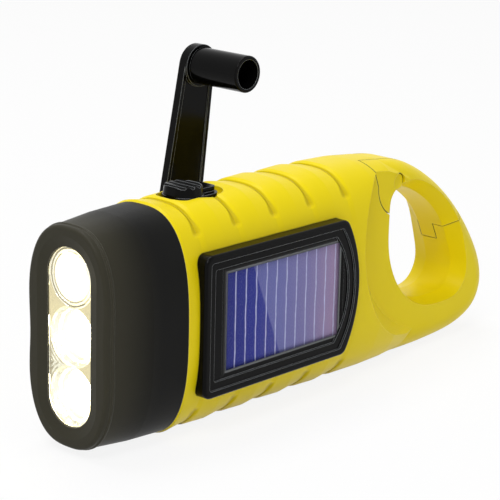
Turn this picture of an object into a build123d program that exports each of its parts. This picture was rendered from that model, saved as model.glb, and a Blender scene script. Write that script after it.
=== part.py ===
"""Hand crank torch: tapered three-LED head, solar panel, folding crank with its gear train and
a carabiner hook.  Millimetres.  The origin is the centre of the clear window's outer face, +X runs
to the hook, +Z is the switch side, -Y is the solar side and +Y the crank side."""

import math
import os

from build123d import *

os.makedirs("parts", exist_ok=True)

# ---------------------------------------------------------------- driving dimensions
RUNNING_FIT = 0.05          # radial play of a shaft in its bearing
SLIDE_GAP = 0.2             # play of parts that slide or swing past each other
SEAM_GAP = 0.25             # gap of a visible seam between a moving part and the body
OVERSHOOT = 5.0             # how far a cutter reaches past what it cuts

# body
OVAL_POWER = 2.7            # roundness of the body's section: 2 is an ellipse, more is squarer
OVAL_POINTS = 32
BODY_HALF_WIDTH = 14.3
BODY_HALF_HEIGHT = 25.1
BODY_WALL = 1.9
BODY_FRONT = 20.0           # where the head ends and the body begins
CAVITY_LENGTH = 53.5
CAVITY_FLOOR_Y = -10.8      # flat inner face behind the solar panel
FRONT_FLANGE = 1.5
NECK_LENGTH = 7.0
NECK_WALL = 1.4
NECK_DRAFT = 0.4            # extra wall of the head round the neck, where the head tapers
GRIP_FIRST = 25.6           # first crease of the grip
GRIP_PITCH = 11.9
GRIP_CREASES = 5
GRIP_DEPTH = 0.8
GRIP_RUN_IN = 5.0
GRIP_STEP = 1.5

# head
RIM_PROUD = 1.0             # the rim stands in front of the window
HEAD_FRONT_HALF_WIDTH = 12.3
HEAD_FRONT_HALF_HEIGHT = 23.5
HEAD_WAIST = 1.0            # how much the front is drawn in between its lamps
HEAD_WAIST_SPAN = 9.0
HEAD_CREASE_X = 10.5        # the waist fades out into a soft crease here
HEAD_CREASE_SWELL = 0.25    # how much the crease stands out
HEAD_WALL = 1.8
RIM_FILLET = 0.8
RIM_BEAD_X = 0.8            # middle of the fine bead that runs round the rim
RIM_BEAD_WIDTH = 1.0
RIM_BEAD_HEIGHT = 0.22
DISH_DEPTH = 0.7
DISH_SPREAD = 2.4
SPIGOT_GAP = 0.1
GASKET_THICKNESS = 0.8

# lamps
LED_PITCH = 12.75
LED_COUNT = 3
CUP_RADIUS = 5.9
CUP_WALL = 0.5
CUP_DEPTH = 6.4
CUP_THROAT_RADIUS = 2.5
WINDOW_THICKNESS = 1.4
WINDOW_LIP = 1.0
WINDOW_FLANGE = 0.9         # thickness of the window's edge behind the head's lip
WINDOW_RING = 0.7           # how far the window's seat holds the reflector's front
REFLECTOR_BASE = 1.0
LED_BOARD_THICKNESS = 1.2
LED_BASE_RADIUS = 2.3
LED_DOME_RADIUS = 1.6

# hook
HOOK_HALF_THICKNESS = 8.0
HOOK_EDGE_FILLET = 5.0
HOOK_FLARE_DEPTH = 4.2      # how deep the finger opening's edge slopes into its walls
SCOOP_CENTRE_X = 110.5      # the flat cheeks are scooped out round this point
SCOOP_CENTRE_Z = 7.5
NEAR_SCOOP_RADIUS = 27.4
FAR_SCOOP_RADIUS = 24.0
SCOOP_SLOPE = 1.0           # scoop radius gained per millimetre outwards

# gate
PIVOT_X = 96.2
PIVOT_Z = 18.2
GATE_HEEL_RADIUS = 7.7
GATE_NOSE_RADIUS = 27.6
GATE_TONGUE_REACH = 4.0
GATE_TONGUE_LENGTH = 3.6
GATE_TONGUE_LOW_Y = -0.5
GATE_TONGUE_HIGH_Y = 4.0
TONGUE_SLOT_SPARE = 2.6
LOBE_HALF_THICKNESS = 3.4
LOBE_RADIUS = 5.4
GATE_PIN_RADIUS = 1.1
GATE_PIN_HEAD_RADIUS = 1.9
GATE_PIN_HEAD = 0.8
GATE_PIN_RECESS = 1.6
SPRING_WIRE_RADIUS = 0.25
SPRING_RADIUS = 2.3
SPRING_TURNS = 3
SPRING_PITCH = 0.75

# solar panel
FRAME_LEFT = 23.3
FRAME_RIGHT = 68.8
FRAME_BULGE = 4.7
FRAME_HALF_HEIGHT = 15.6
FRAME_SEAT_Y = -12.4
FRAME_FRONT_Y = -15.8
FRAME_CORNER = 2.4
FRAME_EDGE_FILLET = 0.7
FRAME_STEP_MARGIN = 1.7
FRAME_STEP_DEPTH = 0.45
CELL_LEFT = 30.9
CELL_RIGHT = 67.0
CELL_HALF_HEIGHT = 10.6
CELL_MARGIN = 1.6           # black border of the panel under the frame
SOLAR_WINDOW_THICKNESS = 0.6
SOLAR_WINDOW_Y = -14.8
BEVEL = 1.2

# side cover and turret
COVER_LEFT = 25.0
COVER_RIGHT = 79.0
COVER_HALF_HEIGHT = 16.0
COVER_CORNER = 3.0
COVER_INNER_Y = 11.5
COVER_GAP = 0.15
COVER_SCREW_SEAT = 0.9      # from the cover's inner face to the screws' heads
TURRET_BASE_RADIUS = 14.6
TURRET_TOP_RADIUS = 12.8
TURRET_TOP_Y = 24.6
TURRET_WALL = 1.8
TURRET_FILLET = 1.5
COVER_SCREW_FRONT_X = 28.6
COVER_SCREW_FRONT_Z = 13.0
COVER_SCREW_REAR_X = 76.3
COVER_SCREW_REAR_Z = 13.6
SCREW_RADIUS = 1.0
SCREW_HEAD_RADIUS = 1.9
SCREW_HEAD = 1.0
SCREW_CROSS_LENGTH = 2.4
SCREW_CROSS_WIDTH = 0.5
SCREW_CROSS_DEPTH = 0.5
SCREW_LENGTH = 7.0
BOSS_RADIUS = 2.3
BOSS_FLOOR = 0.5            # boss left under the tip of its screw

# crank
HUB_X = 61.5
HUB_Z = 0.0
CRANK_RADIUS = 44.1         # hub axis to knob axis
CRANK_LEAN = 9.0            # degrees from upright, towards the hook
ARM_INNER_Y = 30.0
ARM_THICKNESS = 2.2
ARM_ROOT_HALF_WIDTH = 6.8
ARM_TIP_RADIUS = 4.9
ARM_RIM = 1.0
ARM_PANEL_DEPTH = 0.35
ARM_BARREL_RADIUS = 2.6
ARM_RING_HEIGHT = 0.5
ARM_EDGE_FILLET = 0.4
HUB_RADIUS = 11.0
HUB_THICKNESS = 3.0
HUB_RIM_WIDTH = 2.2
HUB_GAP = 0.4
EAR_THICKNESS = 2.4
EAR_RADIUS = 3.0
HINGE_PIN_RADIUS = 1.0
SHAFT_RADIUS = 3.2
SHAFT_FLAT = 2.4            # half the distance across the flats that drive the gear
BUSHING_RADIUS = 5.0
BUSHING_FLANGE_RADIUS = 6.4
BUSHING_FLANGE = 0.8
KNOB_RADIUS = 4.25
KNOB_BORE_RADIUS = 3.35
KNOB_TIP_Y = 15.0
KNOB_FLOOR = 2.8
KNOB_RIM_FILLET = 0.35
KNOB_PIN_RADIUS = 1.3
KNOB_PIN_HEAD_RADIUS = 2.6
KNOB_PIN_HEAD = 0.8

# gear train
PRESSURE_ANGLE = math.radians(25)
ADDENDUM = 0.8
DEDENDUM = 1.15
BACKLASH = 0.16
FIRST_MODULE = 0.7
SECOND_MODULE = 0.6
CRANK_TEETH = 48
IDLER_PINION_TEETH = 12
IDLER_WHEEL_TEETH = 40
ROTOR_TEETH = 10
IDLER_DIRECTION = 190.8     # degrees in the side view, from the hub to the idler
ROTOR_DIRECTION = 20.0      # degrees, from the idler to the rotor
CRANK_GEAR_LOW_Y = 8.0
CRANK_GEAR_THICKNESS = 2.5
WHEEL_LOW_Y = 4.4
WHEEL_THICKNESS = 2.0
PLATE_LOW_Y = 2.2
PLATE_THICKNESS = 1.6
AXLE_RADIUS = 1.0
ROTOR_SHAFT_RADIUS = 0.75
MAGNET_RADIUS = 4.5
MAGNET_LENGTH = 7.0
CAN_RADIUS = 8.6
CAN_WALL = 0.8
CAN_DEPTH = 10.4
COIL_GAP = 0.4
PLATE_LEFT = 31.0
PLATE_RIGHT = 69.0
PLATE_LOW_Z = -10.0
PLATE_HIGH_Z = 13.0
PLATE_CORNER = 2.5
PLATE_POSTS = ((34.0, 10.3), (66.0, 10.3), (66.0, -7.3))

# electrics
BOARD_THICKNESS = 1.6
BOARD_HIGH_Y = 0.0
BOARD_LEFT = 22.0
BOARD_WIDTH = 9.4
BOARD_TOP = 16.5
BOARD_BOTTOM = -17.0
BOARD_ARM_LENGTH = 18.0
BOARD_ARM_WIDTH = 3.3
BATTERY_RADIUS = 5.1
BATTERY_LENGTH = 44.0
BATTERY_FRONT = 29.5
BATTERY_Y = -3.8
BATTERY_Z = -15.8
BATTERY_CAP = 0.6
HOLDER_LENGTH = 5.0
HOLDER_WALL = 1.0
HOLDER_INSET = 6.0          # from the battery's ends to its clips
WIRE_RADIUS = 0.5
WIRE_BEND = 1.6
LED_WIRE_HEIGHTS = (1.0, 3.0)
LED_WIRE_Y = -5.0
LED_WIRE_X = 24.0
COIL_WIRE_OFFSETS = (-4.2, -1.8)    # from the rotor's height
COIL_WIRE_Y = -6.0
COIL_WIRE_X = 28.5

# switch
SWITCH_X = 34.4
SWITCH_LENGTH = 11.6
SWITCH_HALF_WIDTH = 4.2
SWITCH_TRAVEL = 1.5
SWITCH_POCKET_FLOOR = 23.4
SWITCH_TOP = 26.9
SWITCH_TAB_TOP = 25.8
SWITCH_TAB_LENGTH = 4.0
SWITCH_TAB_HALF_WIDTH = 2.6
SWITCH_RIDGES = 4
SWITCH_RIDGE_PITCH = 1.9
SWITCH_GROOVE_RADIUS = 0.55
SWITCH_BASE_THICKNESS = 1.1
SWITCH_EDGE_FILLET = 0.4
SWITCH_PAD = 2.4            # wall under the pocket
SWITCH_PAD_TAPER = 0.3
SWITCH_BODY_LENGTH = 9.8
SWITCH_BODY_HALF_WIDTH = 2.6
SWITCH_BODY_HEIGHT = 4.0
LEVER_LENGTH = 1.6
LEVER_HALF_WIDTH = 0.8
STEM_WALL = 0.7

# charging socket
USB_X = 26.5
USB_HALF_WIDTH = 4.47
USB_HALF_HEIGHT = 1.63
USB_DEPTH = 7.3
USB_SHELL = 0.3
USB_TONGUE = 0.7
PORT_FLOOR_Z = -23.2
PORT_PAD = 2.2
FLAP_FRONT = 22.4
FLAP_HINGE_X = 32.4
FLAP_HINGE_Z = -24.1
FLAP_HALF_WIDTH = 5.9
FLAP_BEAD_HALF_LENGTH = 3.2
FLAP_BEAD_RADIUS = 0.8
FLAP_STUB = 1.2

# ---------------------------------------------------------------- worked-out places
GEAR_CENTRE_1 = (HUB_X, HUB_Z)


def stepped(start, distance, degrees):
    """The point at a distance and direction from start, in the side view."""
    angle = math.radians(degrees)
    return (start[0] + distance * math.cos(angle), start[1] + distance * math.sin(angle))


FIRST_CENTRES = FIRST_MODULE * (CRANK_TEETH + IDLER_PINION_TEETH) / 2
SECOND_CENTRES = SECOND_MODULE * (IDLER_WHEEL_TEETH + ROTOR_TEETH) / 2
GEAR_CENTRE_2 = stepped(GEAR_CENTRE_1, FIRST_CENTRES, IDLER_DIRECTION)
GEAR_CENTRE_3 = stepped(GEAR_CENTRE_2, SECOND_CENTRES, ROTOR_DIRECTION)
ARM_MID_Y = ARM_INNER_Y + ARM_THICKNESS / 2
HUB_LOW_Y = TURRET_TOP_Y + HUB_GAP
HUB_TOP_Y = HUB_LOW_Y + HUB_THICKNESS
CAVITY_FRONT = BODY_FRONT + FRONT_FLANGE
CAVITY_REAR = CAVITY_FRONT + CAVITY_LENGTH
LED_HEIGHTS = [LED_PITCH * (i - (LED_COUNT - 1) / 2) for i in range(LED_COUNT)]
SLOT_HALF_WIDTH = CUP_RADIUS + CUP_WALL
SLOT_HALF_HEIGHT = LED_HEIGHTS[-1] + SLOT_HALF_WIDTH


def side(x, y, z):
    """A plane across the body at y, seen from the solar side; extrusions run towards -Y."""
    return Plane(origin=(x, y, z), x_dir=(1, 0, 0), z_dir=(0, -1, 0))


def oval_points(half_width, half_height, waist=0.0):
    """Points of the rounded oval section; waist draws its sides in at mid height."""
    points = []
    for i in range(OVAL_POINTS):
        angle = 2 * math.pi * i / OVAL_POINTS
        c, s = math.cos(angle), math.sin(angle)
        y = half_width * math.copysign(abs(c) ** (2 / OVAL_POWER), c)
        z = half_height * math.copysign(abs(s) ** (2 / OVAL_POWER), s)
        drawn_in = waist * math.exp(-((z / HEAD_WAIST_SPAN) ** 2))
        points.append((y * (1 - drawn_in / half_width), z))
    return points


def oval(x, half_width, half_height, waist=0.0, centre_z=0.0):
    """The oval section as a face at x."""
    with BuildSketch(Plane.YZ.offset(x)) as section:
        with BuildLine():
            points = oval_points(half_width, half_height, waist)
            Spline([(y, z + centre_z) for y, z in points], periodic=True)
        make_face()
    return section.sketch


def finish(builder, name):
    """Label a piece and write its file."""
    builder.part.label = name
    export_step(builder.part, f"parts/{name}.step")
    print(f"{name:18s} {builder.part.volume:10.1f} mm3")


# ---------------------------------------------------------------- body shape
# Height of the body's top and bottom over x, from the grip back to the hook.
TAIL_SECTIONS = ((84.0, 24.6, -25.0), (92.0, 23.8, -24.9), (100.0, 22.0, -24.7), (112.0, 12.5, -22.2))
TAIL_HALF_WIDTHS = (BODY_HALF_WIDTH, 13.6, 11.6, HOOK_HALF_THICKNESS - 1.6)

# The hook's outer edge in the side view, from the top of the body round the tail to its underside.
HOOK_OUTLINE = (
    (80.0, 24.0), (92.0, 23.5), (99.5, 22.4), (107.0, 19.3), (115.0, 14.1), (122.5, 7.2), (128.6, -0.6),
    (132.2, -7.6), (132.9, -13.0), (130.6, -18.6), (124.5, -22.3), (115.0, -23.9), (104.0, -24.4),
    (80.0, -24.4),
)
# The finger opening, the same way round, and how far its edge slopes out to the cheek at each point.
HOOK_HOLE = (
    (97.0, 15.9), (102.4, 15.4), (108.0, 13.0), (113.8, 9.0), (118.3, 3.9), (121.6, -2.6), (122.8, -8.2),
    (120.2, -12.2), (114.0, -13.4), (107.6, -12.8), (101.2, -9.6), (96.4, -4.0), (93.9, 3.0), (93.6, 10.4),
    (94.3, 14.4),
)
HOOK_FLARE = (1.6, 2.8, 3.4, 3.2, 2.4, 1.7, 1.4, 1.4, 1.3, 1.2, 1.1, 1.0, 0.9, 0.9, 1.1)


def grip_heights():
    """(x, half height) along the grip: each crease is a soft run-in and a short step up."""
    heights = [(BODY_FRONT, BODY_HALF_HEIGHT - GRIP_DEPTH / 2)]
    for i in range(GRIP_CREASES):
        crease = GRIP_FIRST + i * GRIP_PITCH
        heights += [
            (crease - GRIP_RUN_IN, BODY_HALF_HEIGHT),
            (crease, BODY_HALF_HEIGHT - GRIP_DEPTH),
            (crease + GRIP_STEP, BODY_HALF_HEIGHT - GRIP_DEPTH / 4),
        ]
    return heights


def scoop(radius, towards):
    """Cone that leaves the flat cheek of the hook on one side; towards is -1 near, +1 far."""
    depth = BODY_HALF_WIDTH - HOOK_HALF_THICKNESS + OVERSHOOT
    with BuildPart() as cutter:
        for step in (0, depth):
            y = towards * (HOOK_HALF_THICKNESS + step)
            with BuildSketch(side(SCOOP_CENTRE_X, y, SCOOP_CENTRE_Z)):
                Circle(radius + step * SCOOP_SLOPE)
        loft()
    return cutter.part


def grip_body():
    """Outer form of the body without its hook."""
    with BuildPart() as grip:
        for x, half_height in grip_heights():
            add(oval(x, BODY_HALF_WIDTH, half_height))
        for (x, top, bottom), half_width in zip(TAIL_SECTIONS, TAIL_HALF_WIDTHS):
            add(oval(x, half_width, (top - bottom) / 2, centre_z=(top + bottom) / 2))
        loft(ruled=True)
        add([scoop(NEAR_SCOOP_RADIUS, -1), scoop(FAR_SCOOP_RADIUS, 1)], mode=Mode.SUBTRACT)
    return grip.part


def flared_hole():
    """The hole's outline at the cheek: each point is moved away from the opening by its flare."""
    centre_x = sum(x for x, z in HOOK_HOLE) / len(HOOK_HOLE)
    centre_z = sum(z for x, z in HOOK_HOLE) / len(HOOK_HOLE)
    points = []
    for (x, z), flare in zip(HOOK_HOLE, HOOK_FLARE):
        away = math.hypot(x - centre_x, z - centre_z)
        points.append((x + flare * (x - centre_x) / away, z + flare * (z - centre_z) / away))
    return points


def hole_flare(towards):
    """Sloping edge of the finger opening on one side; towards is -1 near, +1 far."""
    with BuildPart() as flare:
        for step, points in ((-HOOK_FLARE_DEPTH, HOOK_HOLE), (0, flared_hole())):
            with BuildSketch(side(0, towards * (HOOK_HALF_THICKNESS + step), 0)):
                with BuildLine():
                    Spline(points, periodic=True)
                make_face()
        loft(ruled=True)
        with BuildSketch(side(0, towards * HOOK_HALF_THICKNESS, 0)):
            with BuildLine():
                Spline(flared_hole(), periodic=True)
            make_face()
        extrude(amount=-towards * OVERSHOOT)
    return flare.part


def outer_body(grip):
    """The body's outer form with its hook, before it is hollowed and cut."""
    with BuildPart() as loop:
        with BuildSketch(side(0, HOOK_HALF_THICKNESS, 0)):
            with BuildLine():
                Spline(HOOK_OUTLINE)
                Line(HOOK_OUTLINE[-1], HOOK_OUTLINE[0])
            make_face()
        extrude(amount=2 * HOOK_HALF_THICKNESS)
        rims = loop.edges().filter_by(lambda e: e.geom_type == GeomType.BSPLINE)
        fillet(rims, HOOK_EDGE_FILLET)

    with BuildPart() as hole:
        with BuildSketch(side(0, HOOK_HALF_THICKNESS + OVERSHOOT, 0)):
            with BuildLine():
                Spline(HOOK_HOLE, periodic=True)
            make_face()
        extrude(amount=2 * (HOOK_HALF_THICKNESS + OVERSHOOT))

    with BuildPart() as outer:
        add([grip, loop.part])
        add([hole.part, hole_flare(-1), hole_flare(1)], mode=Mode.SUBTRACT)
    return outer.part


def box_between(low, high):
    """Box from its lowest to its highest corner."""
    size = [h - l for l, h in zip(low, high)]
    centre = [(h + l) / 2 for l, h in zip(low, high)]
    with BuildPart() as block:
        with Locations(tuple(centre)):
            Box(*size)
    return block.part


def rod(x, z, low_y, high_y, radius):
    """Round bar along Y."""
    with BuildPart() as bar:
        with BuildSketch(side(x, high_y, z)):
            Circle(radius)
        extrude(amount=high_y - low_y)
    return bar.part


def ring(x, z, low_y, high_y, outer_radius, inner_radius):
    """Round tube along Y."""
    with BuildPart() as tube:
        with BuildSketch(side(x, high_y, z)):
            Circle(outer_radius)
            Circle(inner_radius, mode=Mode.SUBTRACT)
        extrude(amount=high_y - low_y)
    return tube.part


def slot_bar(half_width, half_height, low_x, high_x):
    """Bar along X with the stadium section of the lamp opening."""
    with BuildPart() as bar:
        with BuildSketch(Plane.YZ.offset(low_x)):
            SlotOverall(2 * half_height, 2 * half_width, rotation=90)
        extrude(amount=high_x - low_x)
    return bar.part


def oval_bar(half_width, half_height, low_x, high_x):
    """Bar along X with the oval section."""
    with BuildPart() as bar:
        extrude(oval(low_x, half_width, half_height).face(), amount=high_x - low_x)
    return bar.part


def cover_prism(gap):
    """Prism through the crank side in the outline of the side cover, grown by gap."""
    width = COVER_RIGHT - COVER_LEFT + 2 * gap
    centre_x = (COVER_LEFT + COVER_RIGHT) / 2
    with BuildPart() as prism:
        with BuildSketch(side(centre_x, BODY_HALF_WIDTH + OVERSHOOT, 0)):
            RectangleRounded(width, 2 * (COVER_HALF_HEIGHT + gap), COVER_CORNER + gap)
        extrude(amount=BODY_HALF_WIDTH + OVERSHOOT - COVER_INNER_Y)
    return prism.part


COVER_SCREWS = [
    (x, sign * z)
    for x, z in ((COVER_SCREW_FRONT_X, COVER_SCREW_FRONT_Z), (COVER_SCREW_REAR_X, COVER_SCREW_REAR_Z))
    for sign in (1, -1)
]
COVER_HEAD_Y = COVER_INNER_Y + COVER_SCREW_SEAT


# ---------------------------------------------------------------- gate
def gate_region(gap):
    """Everything that belongs to the gate; gap widens it into the pocket that it moves in."""
    heel = GATE_HEEL_RADIUS + gap
    nose = GATE_NOSE_RADIUS + gap
    heel_low = (PIVOT_X - heel * math.cos(math.radians(62)), PIVOT_Z - heel * math.sin(math.radians(62)))
    heel_mid = (PIVOT_X - heel * math.cos(math.radians(28)), PIVOT_Z - heel * math.sin(math.radians(28)))
    heel_top = (PIVOT_X - heel, PIVOT_Z)
    seam_top = (PIVOT_X - heel - 3.6, PIVOT_Z + 9.0)

    def on_nose(degrees):
        return stepped((PIVOT_X, PIVOT_Z), nose, -degrees)

    with BuildPart() as region:
        with BuildSketch(side(0, BODY_HALF_WIDTH + OVERSHOOT, 0)):
            with BuildLine():
                ThreePointArc(heel_low, heel_mid, heel_top)
                Line(heel_top, seam_top)
                Line(seam_top, (PIVOT_X + nose, seam_top[1]))
                Line((PIVOT_X + nose, seam_top[1]), on_nose(0))
                ThreePointArc(on_nose(0), on_nose(20), on_nose(44))
                Line(on_nose(44), heel_low)
            make_face()
        extrude(amount=2 * (BODY_HALF_WIDTH + OVERSHOOT))
    return region.part


def gate_tongue(gap, length):
    """Tongue of the gate's nose, that lies in a slot of the hook's end."""
    reach = GATE_NOSE_RADIUS + GATE_TONGUE_REACH + gap
    width = GATE_TONGUE_HIGH_Y - GATE_TONGUE_LOW_Y + 2 * gap

    def at(radius, degrees):
        return stepped((PIVOT_X, PIVOT_Z), radius, -degrees)

    start, end = 28.0, 33.0 + math.degrees(length / reach)
    with BuildPart() as tongue:
        with BuildSketch(side(0, GATE_TONGUE_HIGH_Y + gap, 0)):
            with BuildLine():
                ThreePointArc(at(reach, start), at(reach, (start + end) / 2), at(reach, end))
                Line(at(reach, end), at(reach - 2 * GATE_TONGUE_REACH, end))
                Line(at(reach - 2 * GATE_TONGUE_REACH, end), at(reach - 2 * GATE_TONGUE_REACH, start))
                Line(at(reach - 2 * GATE_TONGUE_REACH, start), at(reach, start))
            make_face()
        extrude(amount=width)
    return tongue.part


def lobe(gap):
    """The body's middle lobe between the gate's two ears, and all of the body in front of the pivot
    there, because the gate turns through it."""
    half = LOBE_HALF_THICKNESS + gap
    reach = GATE_HEEL_RADIUS + OVERSHOOT
    with BuildPart() as middle:
        with BuildSketch(side(PIVOT_X, half, PIVOT_Z)):
            Circle(LOBE_RADIUS + gap)
            with Locations((-reach / 2, 0)):
                Rectangle(reach, 2 * reach)
        extrude(amount=2 * half)
    return middle.part


GATE_HEAD_SEAT_Y = -(HOOK_HALF_THICKNESS - GATE_PIN_RECESS)


def build_gate(outer):
    with BuildPart() as shape:
        add(gate_region(0))
        add(lobe(SEAM_GAP), mode=Mode.SUBTRACT)
        add(gate_tongue(0, GATE_TONGUE_LENGTH))
        bore = GATE_PIN_RADIUS + RUNNING_FIT
        recess = GATE_PIN_HEAD_RADIUS + SLIDE_GAP
        add([
            rod(PIVOT_X, PIVOT_Z, -BODY_HALF_WIDTH, BODY_HALF_WIDTH, bore),
            rod(PIVOT_X, PIVOT_Z, -BODY_HALF_WIDTH, GATE_HEAD_SEAT_Y, recess),
            rod(PIVOT_X, PIVOT_Z, -GATE_HEAD_SEAT_Y, BODY_HALF_WIDTH, recess),
        ], mode=Mode.SUBTRACT)
    with BuildPart() as gate:
        add(outer)
        add(shape.part, mode=Mode.INTERSECT)
    finish(gate, "hook_gate")

    half_length = -GATE_HEAD_SEAT_Y + RUNNING_FIT
    with BuildPart() as pin:
        add(rod(PIVOT_X, PIVOT_Z, -half_length, half_length, GATE_PIN_RADIUS))
        for low in (-half_length - GATE_PIN_HEAD, half_length):
            add(rod(PIVOT_X, PIVOT_Z, low, low + GATE_PIN_HEAD, GATE_PIN_HEAD_RADIUS))
    finish(pin, "gate_pin")

    low_y = -SPRING_TURNS * SPRING_PITCH / 2
    with BuildPart() as spring:
        with BuildLine():
            coil = Helix(
                SPRING_PITCH, SPRING_TURNS * SPRING_PITCH, SPRING_RADIUS,
                center=(PIVOT_X, low_y, PIVOT_Z), direction=(0, 1, 0))
        with BuildSketch(Plane(coil @ 0, z_dir=coil % 0)):
            Circle(SPRING_WIRE_RADIUS)
        sweep(path=coil)
    finish(spring, "gate_spring")


# ---------------------------------------------------------------- housing
def switch_pocket():
    """Pocket that the switch cap slides in, from its floor outwards."""
    half_length = SWITCH_LENGTH / 2 + SWITCH_TRAVEL + SLIDE_GAP
    half_width = SWITCH_HALF_WIDTH + SLIDE_GAP
    with BuildPart() as pocket:
        with BuildSketch(Plane.XY.offset(SWITCH_POCKET_FLOOR)):
            with Locations((SWITCH_X, 0)):
                RectangleRounded(2 * half_length, 2 * half_width, half_width * 0.7)
        extrude(amount=OVERSHOOT)
    return pocket.part


def usb_section(low_z, high_z, inset):
    """Bar along Z in the section of the socket's shell."""
    half_height = USB_HALF_HEIGHT - inset
    with BuildPart() as bar:
        with BuildSketch(Plane.XY.offset(low_z)):
            with Locations((USB_X, 0)):
                RectangleRounded(2 * half_height, 2 * (USB_HALF_WIDTH - inset), half_height * 0.8)
        extrude(amount=high_z - low_z)
    return bar.part


def build_housing(outer):
    """Body with hook: hollow from the head back to behind the gears, open to the side cover."""
    neck = (head_bore()[0] - SPIGOT_GAP, head_bore()[1] - SPIGOT_GAP)
    gear_pocket = FIRST_MODULE * (CRANK_TEETH / 2 + ADDENDUM) + 2 * SLIDE_GAP
    wheel_pocket = SECOND_MODULE * (IDLER_WHEEL_TEETH / 2 + ADDENDUM) + 2 * SLIDE_GAP
    wheel_room = (WHEEL_LOW_Y - 2 * SLIDE_GAP, WHEEL_LOW_Y + WHEEL_THICKNESS + 2 * SLIDE_GAP)
    bore = (neck[0] - NECK_WALL, neck[1] - NECK_WALL)
    pad_half = SWITCH_LENGTH / 2 + SWITCH_TRAVEL + 3 * BODY_WALL / 2
    inside = [
        # pads that thicken the wall under the switch and over the charging socket
        box_between(
            (SWITCH_X - pad_half, -SWITCH_HALF_WIDTH - BODY_WALL, SWITCH_POCKET_FLOOR - SWITCH_PAD),
            (SWITCH_X + pad_half, SWITCH_HALF_WIDTH + BODY_WALL, SWITCH_POCKET_FLOOR)),
        box_between(
            (CAVITY_FRONT, -FLAP_HALF_WIDTH - BODY_WALL, PORT_FLOOR_Z),
            (FLAP_HINGE_X + 2 * BODY_WALL, FLAP_HALF_WIDTH + BODY_WALL, PORT_FLOOR_Z + PORT_PAD)),
    ]
    inside += [rod(x, z, CAVITY_FLOOR_Y, PLATE_LOW_Y, BOSS_RADIUS) for x, z in PLATE_POSTS]
    for x, z in COVER_SCREWS:
        # bosses of the side cover's front screws, grown from the top and bottom walls
        if x < CAVITY_REAR:
            inner_z = z - math.copysign(BOSS_RADIUS, z)
            low_z, high_z = sorted((inner_z, math.copysign(BODY_HALF_HEIGHT, z)))
            inside.append(box_between(
                (x - BOSS_RADIUS, COVER_HEAD_Y - SCREW_LENGTH - BOSS_FLOOR, low_z),
                (x + BOSS_RADIUS, COVER_INNER_Y, high_z)))
    with BuildPart() as hollow:
        add(oval_bar(BODY_HALF_WIDTH - BODY_WALL, BODY_HALF_HEIGHT - BODY_WALL, CAVITY_FRONT, CAVITY_REAR))
        split(bisect_by=Plane.XZ.offset(-CAVITY_FLOOR_Y), keep=Keep.BOTTOM)
        add(inside, mode=Mode.SUBTRACT)

    spring_half = SPRING_TURNS * SPRING_PITCH / 2 + SPRING_WIRE_RADIUS + SLIDE_GAP
    spring_outer = SPRING_RADIUS + SPRING_WIRE_RADIUS
    stem_half = LEVER_LENGTH / 2 + STEM_WALL + SWITCH_TRAVEL + SLIDE_GAP
    stem_half_width = LEVER_HALF_WIDTH + STEM_WALL + SLIDE_GAP
    wire_bore = WIRE_RADIUS + SLIDE_GAP
    cuts = [
        cover_prism(COVER_GAP),
        rod(HUB_X, HUB_Z, CRANK_GEAR_LOW_Y - 2 * SLIDE_GAP, COVER_INNER_Y, gear_pocket),
        rod(*GEAR_CENTRE_2, *wheel_room, wheel_pocket),
        solar_outline(0, FRAME_SEAT_Y, FRAME_FRONT_Y - OVERSHOOT),
        # pocket of the switch cap and the slot of its stem
        switch_pocket(),
        box_between(
            (SWITCH_X - stem_half, -stem_half_width, SWITCH_POCKET_FLOOR - 2 * SWITCH_PAD),
            (SWITCH_X + stem_half, stem_half_width, SWITCH_POCKET_FLOOR + 1)),
        # pocket of the rubber flap and the mouth of the socket
        flap_pocket(),
        usb_section(PORT_FLOOR_Z - OVERSHOOT, PORT_FLOOR_Z + OVERSHOOT, 0),
        # slot of the gate's tongue, bore of its pin and recess of its spring
        gate_tongue(SEAM_GAP, GATE_TONGUE_LENGTH + TONGUE_SLOT_SPARE),
        rod(PIVOT_X, PIVOT_Z, -LOBE_HALF_THICKNESS - 1, LOBE_HALF_THICKNESS + 1, GATE_PIN_RADIUS),
        rod(PIVOT_X, PIVOT_Z, -spring_half, spring_half, spring_outer),
    ]
    cuts += [rod(x, z, COVER_HEAD_Y - SCREW_LENGTH, COVER_HEAD_Y, SCREW_RADIUS) for x, z in COVER_SCREWS]
    cuts += [rod(x, z, PLATE_LOW_Y - SCREW_LENGTH, PLATE_LOW_Y, SCREW_RADIUS) for x, z in PLATE_POSTS]
    cuts += [
        rod(SOLAR_WIRE_X, z, FRAME_SEAT_Y - 1, CAVITY_FLOOR_Y + 1, wire_bore)
        for z in SOLAR_WIRE_HEIGHTS
    ]
    with BuildPart() as gate_pocket:
        add(gate_region(SEAM_GAP))
        add(lobe(0), mode=Mode.SUBTRACT)
    cuts.append(gate_pocket.part)

    with BuildPart() as housing:
        add([outer, oval_bar(*neck, BODY_FRONT - NECK_LENGTH, BODY_FRONT)])
        add([hollow.part, oval_bar(*bore, BODY_FRONT - NECK_LENGTH, CAVITY_FRONT)], mode=Mode.SUBTRACT)
        add(cuts, mode=Mode.SUBTRACT)
    finish(housing, "body_housing")


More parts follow.
